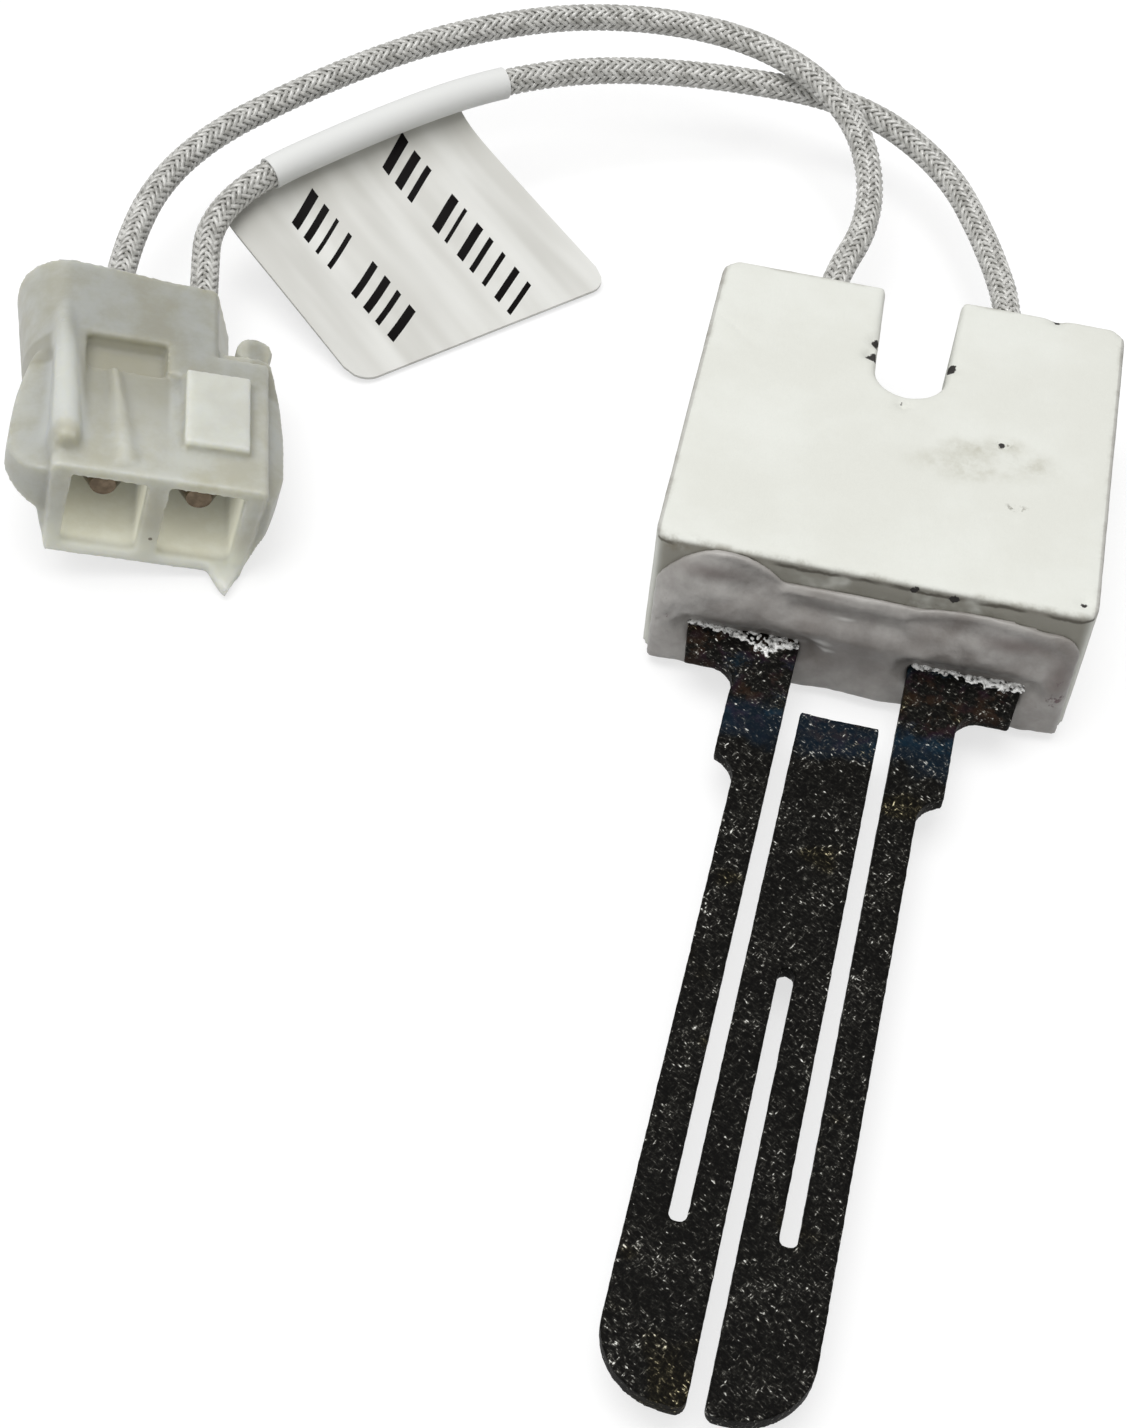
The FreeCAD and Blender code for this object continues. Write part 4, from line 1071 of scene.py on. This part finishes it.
def label_frame():
    before, bend, after = [Vector(p) for p in ROUTES["right"][-3:]]
    right_end = bend + (before - bend).normalized() * (LABEL_WIDTH - LABEL_LEFT)
    left_end = bend + (after - bend).normalized() * LABEL_LEFT
    along = right_end - left_end
    along.z = 0
    along.normalize()
    out = Vector((along.y, -along.x, 0)) + along * math.tan(math.radians(FLAG_SKEW))
    return left_end, right_end, along, out


def flag_height(share, top):
    """The flag drops steeply at the wrap, then runs nearly straight down to the floor."""
    steep = FLAG_DROP_SHARE * math.exp(-share / FLAG_DROP_REACH)
    return FLAG_END_HEIGHT + (top - FLAG_END_HEIGHT) * (steep + (1 - FLAG_DROP_SHARE) * (1 - share))


def lead_offset(line):
    """How far the lead lies beside and above the chord, for a place u along the flag's top."""
    left_end, right_end, along, out = label_frame()
    side = Vector((-along.y, along.x, 0))
    rel = line / MM - np.array(left_end)
    travel = rel @ np.array(along) - FLAG_SHIFT
    order = np.argsort(travel)
    near_chord = np.abs(rel @ np.array(side))[order] < 4
    travel = travel[order][near_chord]
    beside = (rel @ np.array(side))[order][near_chord]
    above = (rel[:, 2] + left_end.z)[order][near_chord]

    def offset(u):
        at = max(u, -FLAG_SHIFT)
        return side * float(np.interp(at, travel, beside)), float(np.interp(at, travel, above))

    return offset


def flag_sheet(line):
    left_end, right_end, along, out = label_frame()
    corner = Vector((left_end.x, left_end.y, 0)) + along * FLAG_SHIFT
    offset = lead_offset(line)
    points = []
    places = []
    for side in (0.5, -0.5):
        for i in range(FLAG_STEPS + 1):
            u = FLAG_WIDTH * i / FLAG_STEPS
            beside, lead_height = offset(u)
            top = lead_height - SLEEVE_RADIUS / MM - 0.05
            inset = FLAG_CORNER - min(u, FLAG_WIDTH - u, FLAG_CORNER)
            reach = FLAG_REACH - (FLAG_CORNER - math.sqrt(FLAG_CORNER ** 2 - inset ** 2))
            for j in range(FLAG_ROWS + 1):
                v = reach * j / FLAG_ROWS
                share = v / FLAG_REACH
                bow = FLAG_WAVE * math.sin(math.pi * share ** 0.7) * math.sin(0.85 * u + 0.6)
                height = flag_height(share, top) + bow + side * FLAG_FILM
                start = beside * (1 - share) ** 2
                spread = u - FLAG_SPREAD * share * (1 - u / FLAG_WIDTH)
                points.append((corner + start + along * spread + out * v
                               + Vector((0, 0, height))) * MM)
                places.append((u, v, 0.0))
    row = FLAG_ROWS + 1
    layer = row * (FLAG_STEPS + 1)
    faces = []
    for i in range(FLAG_STEPS):
        for j in range(FLAG_ROWS):
            a = i * row + j
            faces.append((a, a + 1, a + row + 1, a + row))
            faces.append((layer + a, layer + a + row, layer + a + row + 1, layer + a + 1))
    rim = ([i * row for i in range(FLAG_STEPS)]
           + [FLAG_STEPS * row + j for j in range(FLAG_ROWS)]
           + [i * row + FLAG_ROWS for i in range(FLAG_STEPS, 0, -1)]
           + [j for j in range(FLAG_ROWS, 0, -1)])
    for a, b in zip(rim, rim[1:] + rim[:1]):
        faces.append((a, b, layer + b, layer + a))
    obj = add_mesh("label_flag", points, faces)
    store_place(obj, places)
    return obj


def store_place(obj, places):
    """Keeps each vertex's place on the film, in millimetres, for its print."""
    layer = obj.data.attributes.new("film_place", "FLOAT_VECTOR", "POINT")
    values = np.array(places, float).ravel()
    layer.data.foreach_set("vector", values)


def label_wrap(line):
    left_end, right_end, along, out = label_frame()
    near_index = [int(np.argmin(np.linalg.norm(line - np.array(end) * MM, axis=1)))
                  for end in (right_end, left_end)]
    part = line[near_index[0]:near_index[1]:3]
    tangents, sides, ups = moving_axes(part)
    around = 40
    points = tube_points(part, sides, ups, WRAP_RADIUS, around)
    inner = tube_points(part, sides, ups, SLEEVE_RADIUS + 0.02 * MM, around)
    rings = len(part)
    faces = ring_faces(rings, around, capped=False)
    total = len(points)
    faces += [tuple(total + i for i in reversed(face))
              for face in ring_faces(rings, around, capped=False)]
    for j in range(around):
        k = (j + 1) % around
        last = (rings - 1) * around
        faces.append((j, total + j, total + k, k))
        faces.append((last + j, last + k, total + last + k, total + last + j))
    obj = add_mesh("label_wrap", np.concatenate([points, inner]), faces)
    store_place(obj, [(-5.0, -5.0, 1.0)] * (2 * total))
    return obj


def flag_label(line):
    sheet = flag_sheet(line)
    wrap = label_wrap(line)
    deselect()
    wrap.select_set(True)
    sheet.select_set(True)
    bpy.context.view_layer.objects.active = sheet
    bpy.ops.object.join()
    sheet.name = "label_film"
    pick(sheet)
    bpy.ops.object.mode_set(mode="EDIT")
    bpy.ops.mesh.select_all(action="SELECT")
    bpy.ops.mesh.normals_make_consistent(inside=False)
    bpy.ops.object.mode_set(mode="OBJECT")
    dress(sheet, film_finish)
    smooth(sheet, 50)
    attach(sheet, "root")
    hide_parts("flag_label")
    return sheet


make_camera()
make_lamp("key", KEY_PLACE, KEY_SIZE, KEY_POWER)
make_lamp("fill", FILL_PLACE, FILL_SIZE, FILL_POWER)
make_world()
make_floor()

ceramic_finish = make_ceramic()
cement_finish = make_cement()
carbide_finish = make_carbide()
deposit_finish = make_deposit()
film_finish = make_film()
nylon_finish = make_nylon()
pin_finish = make_metal("dull_bronze", (0.15, 0.115, 0.08), 0.3)
clip_finish = make_metal("clip_steel", (0.55, 0.53, 0.5), 0.4)
wire_finish = make_metal("wire_strands", (0.7, 0.66, 0.62), 0.35)
yarn_finish = make_glass_yarn()
gap_shade_liner_finish = make_gap_shade_liner()

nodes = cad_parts
worn_block()
grainy_element()
sculpted_cement()
housing = soft_housing()
tab_deposit("tab_deposit_left", DEPOSIT_LEFT, 3)
tab_deposit("tab_deposit_right", DEPOSIT_RIGHT, 4)
for word in SIDES:
    dress(nodes["contact_clip_" + word], clip_finish)
    dress(nodes["lead_core_" + word], wire_finish)

for word in SIDES:
    sleeve, sleeve_line = braided_sleeve(word)
    own = [wide_pin(word), nodes["lead_core_" + word]]
    own += [housing] if word == "left" else [flag_label(sleeve_line)]

bpy.context.scene.view_settings.view_transform = "Standard"
